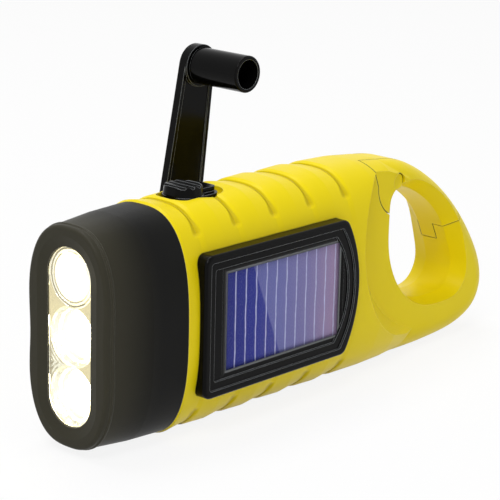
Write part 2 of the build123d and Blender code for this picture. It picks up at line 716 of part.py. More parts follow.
# ---------------------------------------------------------------- side cover and turret
def build_side_cover(grip):
    with BuildPart() as turret:
        for y, radius in ((COVER_INNER_Y + 1, TURRET_BASE_RADIUS), (TURRET_TOP_Y, TURRET_TOP_RADIUS)):
            with BuildSketch(side(HUB_X, y, HUB_Z)):
                Circle(radius)
        loft()
        top_rim = turret.edges().filter_by(GeomType.CIRCLE).sort_by(Axis.Y)[-1]
        fillet(top_rim, TURRET_FILLET)
    ceiling = TURRET_TOP_Y - TURRET_WALL
    boss_radius = BUSHING_RADIUS + TURRET_WALL
    flange_top = COVER_INNER_Y + BUSHING_FLANGE
    hollow_radius = TURRET_TOP_RADIUS - TURRET_WALL
    hollows = [
        ring(HUB_X, HUB_Z, flange_top, ceiling, hollow_radius, boss_radius),
        rod(HUB_X, HUB_Z, COVER_INNER_Y, flange_top, hollow_radius),
        rod(HUB_X, HUB_Z, COVER_INNER_Y, TURRET_TOP_Y, BUSHING_RADIUS),
    ]
    head_bore_radius = SCREW_HEAD_RADIUS + SLIDE_GAP
    hollows += [rod(x, z, COVER_INNER_Y, BODY_HALF_WIDTH, SCREW_RADIUS) for x, z in COVER_SCREWS]
    hollows += [rod(x, z, COVER_HEAD_Y, BODY_HALF_WIDTH + 1, head_bore_radius) for x, z in COVER_SCREWS]
    with BuildPart() as cover:
        add(grip)
        add(cover_prism(0), mode=Mode.INTERSECT)
        add(turret.part)
        add(hollows, mode=Mode.SUBTRACT)
    finish(cover, "side_cover")

    with BuildPart() as screws:
        for x, z in COVER_SCREWS:
            add(rod(x, z, COVER_HEAD_Y - SCREW_LENGTH, COVER_HEAD_Y, SCREW_RADIUS))
            add(rod(x, z, COVER_HEAD_Y, COVER_HEAD_Y + SCREW_HEAD, SCREW_HEAD_RADIUS))
            with BuildSketch(side(x, COVER_HEAD_Y + SCREW_HEAD, z)):
                Rectangle(SCREW_CROSS_LENGTH, SCREW_CROSS_WIDTH)
                Rectangle(SCREW_CROSS_WIDTH, SCREW_CROSS_LENGTH)
            extrude(amount=SCREW_CROSS_DEPTH, mode=Mode.SUBTRACT)
    finish(screws, "cover_screws")

    with BuildPart() as bushing:
        bore = SHAFT_RADIUS + RUNNING_FIT
        add(ring(HUB_X, HUB_Z, COVER_INNER_Y, TURRET_TOP_Y, BUSHING_RADIUS, bore))
        add(ring(HUB_X, HUB_Z, COVER_INNER_Y, flange_top, BUSHING_FLANGE_RADIUS, bore))
    finish(bushing, "hub_bushing")


# ---------------------------------------------------------------- head
LENS_SEAT_REAR = WINDOW_THICKNESS + WINDOW_RING
REFLECTOR_REAR = WINDOW_THICKNESS + CUP_DEPTH + REFLECTOR_BASE


def head_bore():
    """Half width and half height of the head's bore that slides over the body's neck."""
    return (BODY_HALF_WIDTH - HEAD_WALL - NECK_DRAFT, BODY_HALF_HEIGHT - HEAD_WALL - 2 * NECK_DRAFT)


def lamp_bore():
    """Half width and half height of the head's bore behind the window."""
    return (HEAD_FRONT_HALF_WIDTH - HEAD_WALL, HEAD_FRONT_HALF_HEIGHT - HEAD_WALL)


def head_section(x, proud=0.0):
    """The head's outer section at x, grown by proud: straight taper, with a waist that fades out."""
    share = (x + RIM_PROUD) / (BODY_FRONT + RIM_PROUD)
    width = HEAD_FRONT_HALF_WIDTH + share * (BODY_HALF_WIDTH - HEAD_FRONT_HALF_WIDTH)
    rear_height = BODY_HALF_HEIGHT - GRIP_DEPTH / 2
    height = HEAD_FRONT_HALF_HEIGHT + share * (rear_height - HEAD_FRONT_HALF_HEIGHT)
    fade = max(0, (HEAD_CREASE_X - x) / (HEAD_CREASE_X + RIM_PROUD))
    return oval(x, width + proud, height + proud, HEAD_WAIST * fade)


def build_head():
    seat_half_width = SLOT_HALF_WIDTH + WINDOW_LIP
    seat_half_height = SLOT_HALF_HEIGHT + WINDOW_LIP
    flange_front = WINDOW_THICKNESS - WINDOW_FLANGE
    bead_start, bead_end = RIM_BEAD_X - RIM_BEAD_WIDTH / 2, RIM_BEAD_X + RIM_BEAD_WIDTH / 2
    crest = RIM_BEAD_WIDTH / 6
    with BuildPart() as bezel:
        add([
            head_section(-RIM_PROUD),
            head_section(bead_start),
            head_section(RIM_BEAD_X - crest, RIM_BEAD_HEIGHT),
            head_section(RIM_BEAD_X + crest, RIM_BEAD_HEIGHT),
            head_section(bead_end),
            head_section(HEAD_CREASE_X, HEAD_CREASE_SWELL),
            head_section(BODY_FRONT),
        ])
        loft(ruled=True)
        front_rim = bezel.faces().sort_by(Axis.X)[0].edges()
        fillet(front_rim, RIM_FILLET)
        dish_half_height = SLOT_HALF_HEIGHT + DISH_SPREAD
        dish_half_width = SLOT_HALF_WIDTH + DISH_SPREAD
        with BuildSketch(Plane.YZ.offset(-RIM_PROUD)):
            SlotOverall(2 * dish_half_height, 2 * dish_half_width, rotation=90)
        with BuildSketch(Plane.YZ.offset(DISH_DEPTH - RIM_PROUD)):
            SlotOverall(2 * SLOT_HALF_HEIGHT, 2 * SLOT_HALF_WIDTH, rotation=90)
        loft(mode=Mode.SUBTRACT)
        add(slot_bar(SLOT_HALF_WIDTH, SLOT_HALF_HEIGHT, -RIM_PROUD, LENS_SEAT_REAR), mode=Mode.SUBTRACT)
        add(slot_bar(seat_half_width, seat_half_height, flange_front, LENS_SEAT_REAR), mode=Mode.SUBTRACT)
        add(oval_bar(*lamp_bore(), LENS_SEAT_REAR, BODY_FRONT - NECK_LENGTH), mode=Mode.SUBTRACT)
        rear = BODY_FRONT - NECK_LENGTH - GASKET_THICKNESS
        add(oval_bar(*head_bore(), rear, BODY_FRONT), mode=Mode.SUBTRACT)
    finish(bezel, "head_bezel")

    with BuildPart() as window:
        add(slot_bar(SLOT_HALF_WIDTH - SPIGOT_GAP, SLOT_HALF_HEIGHT - SPIGOT_GAP, 0, WINDOW_THICKNESS))
        flange = (seat_half_width - SPIGOT_GAP, seat_half_height - SPIGOT_GAP)
        add(slot_bar(*flange, flange_front, WINDOW_THICKNESS))
    finish(window, "lens_window")

    with BuildPart() as gasket:
        width, height = (size - SPIGOT_GAP for size in head_bore())
        rear = BODY_FRONT - NECK_LENGTH
        add(oval_bar(width, height, rear - GASKET_THICKNESS, rear))
        inside = (width - NECK_WALL, height - NECK_WALL)
        add(oval_bar(*inside, rear - GASKET_THICKNESS, rear), mode=Mode.SUBTRACT)
    finish(gasket, "head_gasket")


def build_lamps():
    width, height = (size - SPIGOT_GAP for size in lamp_bore())
    cup_rear = WINDOW_THICKNESS + CUP_DEPTH
    block = (SLOT_HALF_WIDTH + WINDOW_LIP / 2, SLOT_HALF_HEIGHT + WINDOW_LIP / 2)
    flange_low = LENS_SEAT_REAR + SLIDE_GAP
    with BuildPart() as reflector:
        add(slot_bar(*block, WINDOW_THICKNESS, cup_rear))
        add(oval_bar(width, height, flange_low, flange_low + REFLECTOR_BASE))
        add(oval_bar(width, height, cup_rear, REFLECTOR_REAR))
        for z in LED_HEIGHTS:
            with BuildSketch(Plane(origin=(WINDOW_THICKNESS, 0, z), x_dir=(0, 1, 0), z_dir=(1, 0, 0))):
                Circle(CUP_RADIUS)
            with BuildSketch(Plane(origin=(cup_rear, 0, z), x_dir=(0, 1, 0), z_dir=(1, 0, 0))):
                Circle(CUP_THROAT_RADIUS)
            loft(mode=Mode.SUBTRACT)
            with BuildSketch(Plane(origin=(cup_rear, 0, z), x_dir=(0, 1, 0), z_dir=(1, 0, 0))):
                Circle(CUP_THROAT_RADIUS)
            extrude(amount=REFLECTOR_BASE, mode=Mode.SUBTRACT)
    finish(reflector, "reflector")

    with BuildPart() as board:
        add(oval_bar(width, height, REFLECTOR_REAR, REFLECTOR_REAR + LED_BOARD_THICKNESS))
    finish(board, "led_board")

    dome_base = REFLECTOR_REAR - REFLECTOR_BASE
    with BuildPart() as leds:
        for z in LED_HEIGHTS:
            with BuildSketch(Plane(origin=(REFLECTOR_REAR, 0, z), x_dir=(0, 1, 0), z_dir=(-1, 0, 0))):
                Circle(LED_BASE_RADIUS)
            extrude(amount=REFLECTOR_BASE)
            with BuildSketch(Plane(origin=(dome_base, 0, z), x_dir=(0, 1, 0), z_dir=(-1, 0, 0))):
                Circle(LED_DOME_RADIUS)
            extrude(amount=LED_DOME_RADIUS)
            with Locations((dome_base - LED_DOME_RADIUS, 0, z)):
                Sphere(LED_DOME_RADIUS)
    finish(leds, "leds")


# ---------------------------------------------------------------- solar panel
SOLAR_WIRE_X = CELL_LEFT - WIRE_RADIUS / 2
SOLAR_WIRE_HEIGHTS = (5.0, 7.0)


def solar_outline(inset, near_y, far_y):
    """Prism of the frame's outline, drawn in by inset, from near_y out to far_y."""
    left, right = FRAME_LEFT + inset, FRAME_RIGHT - inset
    half_height = FRAME_HALF_HEIGHT - inset
    with BuildPart() as prism:
        with BuildSketch(side(0, near_y, 0)) as outline:
            with BuildLine():
                Polyline(
                    (right, half_height), (left, half_height), (left, -half_height), (right, -half_height))
                ThreePointArc((right, -half_height), (right + FRAME_BULGE, 0), (right, half_height))
            make_face()
            fillet(outline.vertices(), max(FRAME_CORNER - inset, FRAME_STEP_DEPTH))
        extrude(amount=near_y - far_y)
    return prism.part


def build_solar():
    cell_centre = (CELL_LEFT + CELL_RIGHT) / 2
    cell_width = CELL_RIGHT - CELL_LEFT
    window_back = SOLAR_WINDOW_Y + SOLAR_WINDOW_THICKNESS
    seat = (cell_width + 2 * CELL_MARGIN, 2 * (CELL_HALF_HEIGHT + CELL_MARGIN))
    panel = (seat[0] - 2 * SPIGOT_GAP, seat[1] - 2 * SPIGOT_GAP)
    with BuildPart() as frame:
        add(solar_outline(0, FRAME_SEAT_Y, FRAME_FRONT_Y))
        front = frame.faces().sort_by(Axis.Y)[0]
        fillet(front.edges(), FRAME_EDGE_FILLET)
        for step in (1, 2):
            depth = FRAME_FRONT_Y + step * FRAME_STEP_DEPTH
            add(solar_outline(step * FRAME_STEP_MARGIN, depth, FRAME_FRONT_Y - 1), mode=Mode.SUBTRACT)
        with BuildSketch(side(cell_centre, SOLAR_WINDOW_Y, 0)):
            Rectangle(cell_width, 2 * CELL_HALF_HEIGHT)
        with BuildSketch(side(cell_centre, FRAME_FRONT_Y + 2 * FRAME_STEP_DEPTH, 0)):
            Rectangle(cell_width + 2 * BEVEL, 2 * (CELL_HALF_HEIGHT + BEVEL))
        loft(mode=Mode.SUBTRACT)
        # seat of the window and the panel from behind
        with BuildSketch(side(cell_centre, FRAME_SEAT_Y, 0)):
            Rectangle(*seat)
        extrude(amount=FRAME_SEAT_Y - SOLAR_WINDOW_Y, mode=Mode.SUBTRACT)
    finish(frame, "solar_frame")

    with BuildPart() as window:
        with BuildSketch(side(cell_centre, window_back, 0)):
            Rectangle(*panel)
        extrude(amount=SOLAR_WINDOW_THICKNESS)
    finish(window, "solar_window")

    with BuildPart() as cell:
        with BuildSketch(side(cell_centre, FRAME_SEAT_Y, 0)):
            Rectangle(*panel)
        extrude(amount=FRAME_SEAT_Y - window_back)
    finish(cell, "solar_cell")


# ---------------------------------------------------------------- switch
def build_switch():
    front = SWITCH_X - SWITCH_LENGTH / 2
    base_low = SWITCH_POCKET_FLOOR + SLIDE_GAP
    base_top = base_low + SWITCH_BASE_THICKNESS
    pad_length = SWITCH_LENGTH - SWITCH_TAB_LENGTH
    base_corner = SWITCH_HALF_WIDTH * 0.7
    tab_centre = SWITCH_X + (SWITCH_LENGTH - SWITCH_TAB_LENGTH) / 2 - 1
    with BuildPart() as cap:
        with BuildSketch(Plane.XY.offset(base_low)):
            with Locations((SWITCH_X, 0)):
                RectangleRounded(SWITCH_LENGTH, 2 * SWITCH_HALF_WIDTH, base_corner)
        extrude(amount=base_top - base_low)
        for z, inset in ((base_top, 0), (SWITCH_TOP, SWITCH_PAD_TAPER)):
            length = pad_length - 2 * inset
            with BuildSketch(Plane.XY.offset(z)):
                with Locations((front + pad_length / 2, 0)):
                    RectangleRounded(length, 2 * (SWITCH_HALF_WIDTH - inset), length * 0.42)
        loft()
        fillet(cap.faces().sort_by(Axis.Z)[-1].edges(), SWITCH_EDGE_FILLET)
        with BuildSketch(Plane.XY.offset(base_top)):
            with Locations((tab_centre, 0)):
                RectangleRounded(SWITCH_TAB_LENGTH + 1.4, 2 * SWITCH_TAB_HALF_WIDTH, 1.0)
        extrude(amount=SWITCH_TAB_TOP - base_top)
        for i in range(SWITCH_RIDGES):
            x = front + pad_length / 2 + (i - (SWITCH_RIDGES - 1) / 2) * SWITCH_RIDGE_PITCH
            with BuildSketch(Plane.XZ.offset(-SWITCH_HALF_WIDTH - 1)):
                with Locations((x, SWITCH_TOP + SWITCH_GROOVE_RADIUS / 4)):
                    Circle(SWITCH_GROOVE_RADIUS)
            extrude(amount=2 * SWITCH_HALF_WIDTH + 2, mode=Mode.SUBTRACT)
        stem_half = LEVER_LENGTH / 2 + STEM_WALL
        lever_top = SWITCH_POCKET_FLOOR - SLIDE_GAP
        stem_low = SWITCH_POCKET_FLOOR - SWITCH_PAD - SLIDE_GAP
        add(box_between(
            (SWITCH_X - stem_half, -LEVER_HALF_WIDTH - STEM_WALL, stem_low),
            (SWITCH_X + stem_half, LEVER_HALF_WIDTH + STEM_WALL, base_low)))
        add(box_between(
            (SWITCH_X - LEVER_LENGTH / 2, -LEVER_HALF_WIDTH, stem_low),
            (SWITCH_X + LEVER_LENGTH / 2, LEVER_HALF_WIDTH, lever_top)), mode=Mode.SUBTRACT)
    finish(cap, "switch_cap")

    with BuildPart() as lever:
        add(box_between(
            (SWITCH_X - LEVER_LENGTH / 2, -LEVER_HALF_WIDTH, BOARD_TOP + SWITCH_BODY_HEIGHT + RUNNING_FIT),
            (SWITCH_X + LEVER_LENGTH / 2, LEVER_HALF_WIDTH, lever_top)))
    finish(lever, "switch_lever")

    with BuildPart() as body:
        add(box_between(
            (SWITCH_X - SWITCH_BODY_LENGTH / 2, -SWITCH_BODY_HALF_WIDTH, BOARD_TOP),
            (SWITCH_X + SWITCH_BODY_LENGTH / 2, SWITCH_BODY_HALF_WIDTH, BOARD_TOP + SWITCH_BODY_HEIGHT)))
    finish(body, "switch_body")


# ---------------------------------------------------------------- charging socket
def flap_pocket():
    """Pocket of the rubber flap and of the bead that it swings on."""
    half_width = FLAP_HALF_WIDTH + SLIDE_GAP
    return box_between(
        (FLAP_FRONT - SLIDE_GAP, -half_width, PORT_FLOOR_Z - OVERSHOOT),
        (FLAP_HINGE_X + FLAP_BEAD_RADIUS + SLIDE_GAP, half_width, PORT_FLOOR_Z))


def build_charging(grip):
    with BuildPart() as flap:
        add(grip)
        add(box_between(
            (FLAP_FRONT, -FLAP_HALF_WIDTH, PORT_FLOOR_Z - OVERSHOOT),
            (FLAP_HINGE_X, FLAP_HALF_WIDTH, PORT_FLOOR_Z - RUNNING_FIT)), mode=Mode.INTERSECT)
        bead = FLAP_BEAD_HALF_LENGTH
        add(rod(FLAP_HINGE_X, FLAP_HINGE_Z, -bead, bead, FLAP_BEAD_RADIUS))
        stub_half = USB_HALF_HEIGHT - USB_SHELL - 2 * SLIDE_GAP
        add(box_between(
            (USB_X - stub_half, -USB_HALF_WIDTH / 2, PORT_FLOOR_Z - RUNNING_FIT),
            (USB_X - stub_half + SLIDE_GAP, USB_HALF_WIDTH / 2, PORT_FLOOR_Z)))
    finish(flap, "usb_cover")

    with BuildPart() as socket:
        add(usb_section(PORT_FLOOR_Z, PORT_FLOOR_Z + USB_DEPTH, 0))
        add(usb_section(PORT_FLOOR_Z, PORT_FLOOR_Z + USB_DEPTH - USB_SHELL, USB_SHELL), mode=Mode.SUBTRACT)
        add(box_between(
            (USB_X - USB_TONGUE / 2, -USB_HALF_WIDTH + 1, PORT_FLOOR_Z + FLAP_STUB),
            (USB_X + USB_TONGUE / 2, USB_HALF_WIDTH - 1, PORT_FLOOR_Z + USB_DEPTH)))
    finish(socket, "usb_socket")


# ---------------------------------------------------------------- crank
ARM_DIRECTION = (math.sin(math.radians(CRANK_LEAN)), math.cos(math.radians(CRANK_LEAN)))
KNOB_X = HUB_X + CRANK_RADIUS * ARM_DIRECTION[0]
KNOB_Z = HUB_Z + CRANK_RADIUS * ARM_DIRECTION[1]
KNOB_BASE_Y = ARM_INNER_Y - ARM_RING_HEIGHT - SLIDE_GAP


def arm_plane(y):
    """Plane at y whose local y runs along the arm, from the hub's axis."""
    across = (ARM_DIRECTION[1], 0, -ARM_DIRECTION[0])
    return Plane(origin=(HUB_X, y, HUB_Z), x_dir=across, z_dir=(0, -1, 0))


def arm_plate(inset, low_y, high_y):
    """Plate in the arm's outline drawn in by inset: straight sides that narrow to a round end."""
    root = ARM_ROOT_HALF_WIDTH - inset
    tip = ARM_TIP_RADIUS - inset
    lean = math.asin((root - tip) / CRANK_RADIUS)
    shoulder = (tip * math.cos(lean), CRANK_RADIUS + tip * math.sin(lean))
    with BuildPart() as plate:
        with BuildSketch(arm_plane(high_y)):
            with BuildLine():
                Line((root, inset), shoulder)
                ThreePointArc(shoulder, (0, CRANK_RADIUS + tip), (-shoulder[0], shoulder[1]))
                Line((-shoulder[0], shoulder[1]), (-root, inset))
                Line((-root, inset), (root, inset))
            make_face()
        extrude(amount=high_y - low_y)
    return plate.part


def hinge_bar(low, high, radius):
    """Round bar along the arm's hinge axis, from low to high across the arm."""
    across = Vector(ARM_DIRECTION[1], 0, -ARM_DIRECTION[0])
    start = Vector(HUB_X, ARM_MID_Y, HUB_Z) + across * low
    with BuildPart() as bar:
        with BuildSketch(Plane(origin=start, z_dir=across)):
            Circle(radius)
        extrude(amount=high - low)
    return bar.part


def drive_bar(low_y, high_y):
    """The crank shaft's end with its two flats."""
    with BuildPart() as bar:
        add(rod(HUB_X, HUB_Z, low_y, high_y, SHAFT_RADIUS))
        add(box_between(
            (HUB_X - SHAFT_FLAT, low_y, HUB_Z - SHAFT_RADIUS),
            (HUB_X + SHAFT_FLAT, high_y, HUB_Z + SHAFT_RADIUS)), mode=Mode.INTERSECT)
    return bar.part


def build_crank():
    ear_inner = ARM_ROOT_HALF_WIDTH + SLIDE_GAP
    ear_outer = ear_inner + EAR_THICKNESS
    rim_top = ARM_INNER_Y - SLIDE_GAP
    gear_top = CRANK_GEAR_LOW_Y + CRANK_GEAR_THICKNESS
    with BuildPart() as hub:
        add(rod(HUB_X, HUB_Z, HUB_LOW_Y, HUB_TOP_Y, HUB_RADIUS))
        add(ring(HUB_X, HUB_Z, HUB_TOP_Y, rim_top, HUB_RADIUS, HUB_RADIUS - HUB_RIM_WIDTH))
        for low in (-ear_outer, ear_inner):
            with BuildSketch(arm_plane(HUB_LOW_Y)):
                with Locations((low + EAR_THICKNESS / 2, 0)):
                    Rectangle(EAR_THICKNESS, 2 * EAR_RADIUS)
            extrude(amount=HUB_LOW_Y - ARM_MID_Y)
            add(hinge_bar(low, low + EAR_THICKNESS, EAR_RADIUS))
        # room for the arm's barrel
        add(hinge_bar(-ear_inner, ear_inner, ARM_BARREL_RADIUS + SLIDE_GAP), mode=Mode.SUBTRACT)
        add(hinge_bar(-ear_outer, ear_outer, HINGE_PIN_RADIUS), mode=Mode.SUBTRACT)
        add([rod(HUB_X, HUB_Z, gear_top, HUB_LOW_Y, SHAFT_RADIUS), drive_bar(CRANK_GEAR_LOW_Y, gear_top)])
        screw_end = CRANK_GEAR_LOW_Y + SCREW_LENGTH
        add(rod(HUB_X, HUB_Z, CRANK_GEAR_LOW_Y, screw_end, SCREW_RADIUS), mode=Mode.SUBTRACT)
    finish(hub, "crank_hub")

    arm_outer = ARM_INNER_Y + ARM_THICKNESS
    pin_bore = HINGE_PIN_RADIUS + RUNNING_FIT
    with BuildPart() as arm:
        add(arm_plate(0, ARM_INNER_Y, arm_outer))
        fillet(arm.faces().sort_by(Axis.Y)[-1].edges(), ARM_EDGE_FILLET)
        add(arm_plate(ARM_RIM, ARM_INNER_Y - 1, ARM_INNER_Y + ARM_PANEL_DEPTH), mode=Mode.SUBTRACT)
        add(hinge_bar(-ARM_ROOT_HALF_WIDTH, ARM_ROOT_HALF_WIDTH, ARM_BARREL_RADIUS))
        ring_low = ARM_INNER_Y - ARM_RING_HEIGHT
        add(rod(KNOB_X, KNOB_Z, ring_low, ARM_INNER_Y + ARM_PANEL_DEPTH, ARM_TIP_RADIUS))
        add(hinge_bar(-ARM_ROOT_HALF_WIDTH, ARM_ROOT_HALF_WIDTH, pin_bore), mode=Mode.SUBTRACT)
        add(rod(KNOB_X, KNOB_Z, ring_low, arm_outer, KNOB_PIN_RADIUS), mode=Mode.SUBTRACT)
    finish(arm, "crank_arm")

    with BuildPart() as hinge_pin:
        add(hinge_bar(-ear_outer, ear_outer, HINGE_PIN_RADIUS))
    finish(hinge_pin, "hinge_pin")

    with BuildPart() as knob:
        add(rod(KNOB_X, KNOB_Z, KNOB_TIP_Y, KNOB_BASE_Y, KNOB_RADIUS))
        rim = knob.edges().filter_by(GeomType.CIRCLE).sort_by(Axis.Y)[0]
        fillet(rim, KNOB_RIM_FILLET)
        add([
            rod(KNOB_X, KNOB_Z, KNOB_TIP_Y - 1, KNOB_BASE_Y - KNOB_FLOOR, KNOB_BORE_RADIUS),
            rod(KNOB_X, KNOB_Z, KNOB_TIP_Y, KNOB_BASE_Y, KNOB_PIN_RADIUS + RUNNING_FIT),
        ], mode=Mode.SUBTRACT)
    finish(knob, "crank_knob")

    with BuildPart() as knob_pin:
        head_top = KNOB_BASE_Y - KNOB_FLOOR - SLIDE_GAP
        add(rod(KNOB_X, KNOB_Z, head_top, arm_outer, KNOB_PIN_RADIUS))
        add(rod(KNOB_X, KNOB_Z, head_top - KNOB_PIN_HEAD, head_top, KNOB_PIN_HEAD_RADIUS))
        add(rod(KNOB_X, KNOB_Z, arm_outer, arm_outer + KNOB_PIN_HEAD, KNOB_PIN_HEAD_RADIUS))
    finish(knob_pin, "knob_pin")


# ---------------------------------------------------------------- gear train
def involute(angle):
    return math.tan(angle) - angle


def gear_bar(centre, low_y, high_y, teeth, module, phase):
    """Spur gear blank; phase is the direction of one tooth in degrees, in the side view."""
    pitch_radius = teeth * module / 2
    base_radius = pitch_radius * math.cos(PRESSURE_ANGLE)
    tip_radius = pitch_radius + ADDENDUM * module
    root_radius = pitch_radius - DEDENDUM * module
    start_radius = max(base_radius, root_radius)
    half_tooth = math.pi / (2 * teeth) - BACKLASH * module / (4 * pitch_radius)

    def flank(radius, tooth_angle, hand):
        spread = involute(PRESSURE_ANGLE) - involute(math.acos(min(1, base_radius / radius)))
        angle = tooth_angle + hand * (half_tooth + spread)
        return (radius * math.cos(angle), radius * math.sin(angle))

    def root(tooth_angle, hand):
        x, y = flank(start_radius, tooth_angle, hand)
        return (x * root_radius / start_radius, y * root_radius / start_radius)

    with BuildPart() as gear:
        with BuildSketch(side(centre[0], high_y, centre[1])):
            with BuildLine():
                for i in range(teeth):
                    at = math.radians(phase) + 2 * math.pi * i / teeth
                    next_at = at + 2 * math.pi / teeth
                    for hand in (-1, 1):
                        radii = [start_radius, (start_radius + tip_radius) / 2, tip_radius][::-hand]
                        points = [flank(radius, at, hand) for radius in radii]
                        if hand == -1 and root_radius < start_radius:
                            Line(root(at, hand), points[0])
                        ThreePointArc(*points)
                        if hand == -1:
                            Line(points[-1], flank(tip_radius, at, 1))
                        elif root_radius < start_radius:
                            Line(points[-1], root(at, hand))
                    Line(root(at, 1), root(next_at, -1))
            make_face()
        extrude(amount=high_y - low_y)
    return gear.part


def build_gears():
    gear_top = CRANK_GEAR_LOW_Y + CRANK_GEAR_THICKNESS
    wheel_top = WHEEL_LOW_Y + WHEEL_THICKNESS
    with BuildPart() as crank_gear:
        teeth = (CRANK_TEETH, FIRST_MODULE, IDLER_DIRECTION)
        add(gear_bar(GEAR_CENTRE_1, CRANK_GEAR_LOW_Y, gear_top, *teeth))
        add(drive_bar(CRANK_GEAR_LOW_Y, gear_top), mode=Mode.SUBTRACT)
    finish(crank_gear, "crank_gear")

    with BuildPart() as screw:
        screw_head = CRANK_GEAR_LOW_Y - SCREW_HEAD
        add(rod(HUB_X, HUB_Z, CRANK_GEAR_LOW_Y, CRANK_GEAR_LOW_Y + SCREW_LENGTH - 1, SCREW_RADIUS))
        add(rod(HUB_X, HUB_Z, screw_head, CRANK_GEAR_LOW_Y, SHAFT_RADIUS + SCREW_CROSS_WIDTH))
    finish(screw, "gear_screw")

    idler_x, idler_z = GEAR_CENTRE_2
    pinion_top = gear_top + SLIDE_GAP
    with BuildPart() as idler:
        phase = IDLER_DIRECTION + 180 + 180 / IDLER_PINION_TEETH
        add(gear_bar(GEAR_CENTRE_2, wheel_top, pinion_top, IDLER_PINION_TEETH, FIRST_MODULE, phase))
        wheel_teeth = (IDLER_WHEEL_TEETH, SECOND_MODULE, ROTOR_DIRECTION)
        add(gear_bar(GEAR_CENTRE_2, WHEEL_LOW_Y, wheel_top, *wheel_teeth))
        add(rod(idler_x, idler_z, PLATE_LOW_Y + PLATE_THICKNESS + SLIDE_GAP, WHEEL_LOW_Y, 2 * AXLE_RADIUS))
        add(rod(idler_x, idler_z, PLATE_LOW_Y, pinion_top, AXLE_RADIUS + RUNNING_FIT), mode=Mode.SUBTRACT)
    finish(idler, "idler_gear")

    with BuildPart() as axle:
        add(rod(idler_x, idler_z, PLATE_LOW_Y, COVER_INNER_Y, AXLE_RADIUS))
    finish(axle, "idler_axle")

    rotor_x, rotor_z = GEAR_CENTRE_3
    can_bottom = PLATE_LOW_Y - CAN_DEPTH
    with BuildPart() as rotor:
        phase = ROTOR_DIRECTION + 180 + 180 / ROTOR_TEETH
        pinion_low, pinion_high = WHEEL_LOW_Y - SLIDE_GAP, wheel_top + SLIDE_GAP
        add(gear_bar(GEAR_CENTRE_3, pinion_low, pinion_high, ROTOR_TEETH, SECOND_MODULE, phase))
        add(rod(rotor_x, rotor_z, can_bottom, pinion_high, ROTOR_SHAFT_RADIUS))
    finish(rotor, "rotor_shaft")

    magnet_low = can_bottom + CAN_WALL + SLIDE_GAP
    magnet_high = magnet_low + MAGNET_LENGTH
    with BuildPart() as magnet:
        add(ring(rotor_x, rotor_z, magnet_low, magnet_high, MAGNET_RADIUS, ROTOR_SHAFT_RADIUS))
    finish(magnet, "rotor_magnet")

    with BuildPart() as can:
        add(rod(rotor_x, rotor_z, can_bottom, PLATE_LOW_Y, CAN_RADIUS))
        add([
            rod(rotor_x, rotor_z, can_bottom + CAN_WALL, PLATE_LOW_Y, CAN_RADIUS - CAN_WALL),
            rod(rotor_x, rotor_z, can_bottom, PLATE_LOW_Y, ROTOR_SHAFT_RADIUS + RUNNING_FIT),
        ], mode=Mode.SUBTRACT)
    finish(can, "generator_can")

    with BuildPart() as coil:
        add(ring(
            rotor_x, rotor_z, can_bottom + CAN_WALL, PLATE_LOW_Y - SLIDE_GAP,
            CAN_RADIUS - CAN_WALL, MAGNET_RADIUS + COIL_GAP))
    finish(coil, "generator_coil")

    plate_top = PLATE_LOW_Y + PLATE_THICKNESS
    plate_centre = ((PLATE_LEFT + PLATE_RIGHT) / 2, (PLATE_LOW_Z + PLATE_HIGH_Z) / 2)
    bores = [(*GEAR_CENTRE_2, AXLE_RADIUS), (*GEAR_CENTRE_3, ROTOR_SHAFT_RADIUS + RUNNING_FIT)]
    bores += [(x, z, SCREW_RADIUS) for x, z in PLATE_POSTS]
    with BuildPart() as plate:
        with BuildSketch(side(plate_centre[0], plate_top, plate_centre[1])):
            RectangleRounded(PLATE_RIGHT - PLATE_LEFT, PLATE_HIGH_Z - PLATE_LOW_Z, PLATE_CORNER)
        extrude(amount=PLATE_THICKNESS)
        add([rod(x, z, PLATE_LOW_Y, plate_top, radius) for x, z, radius in bores], mode=Mode.SUBTRACT)
    finish(plate, "gearbox_plate")

    with BuildPart() as screws:
        for x, z in PLATE_POSTS:
            add(rod(x, z, plate_top - SCREW_LENGTH, plate_top, SCREW_RADIUS))
            add(rod(x, z, plate_top, plate_top + SCREW_HEAD, SCREW_HEAD_RADIUS))
    finish(screws, "plate_screws")


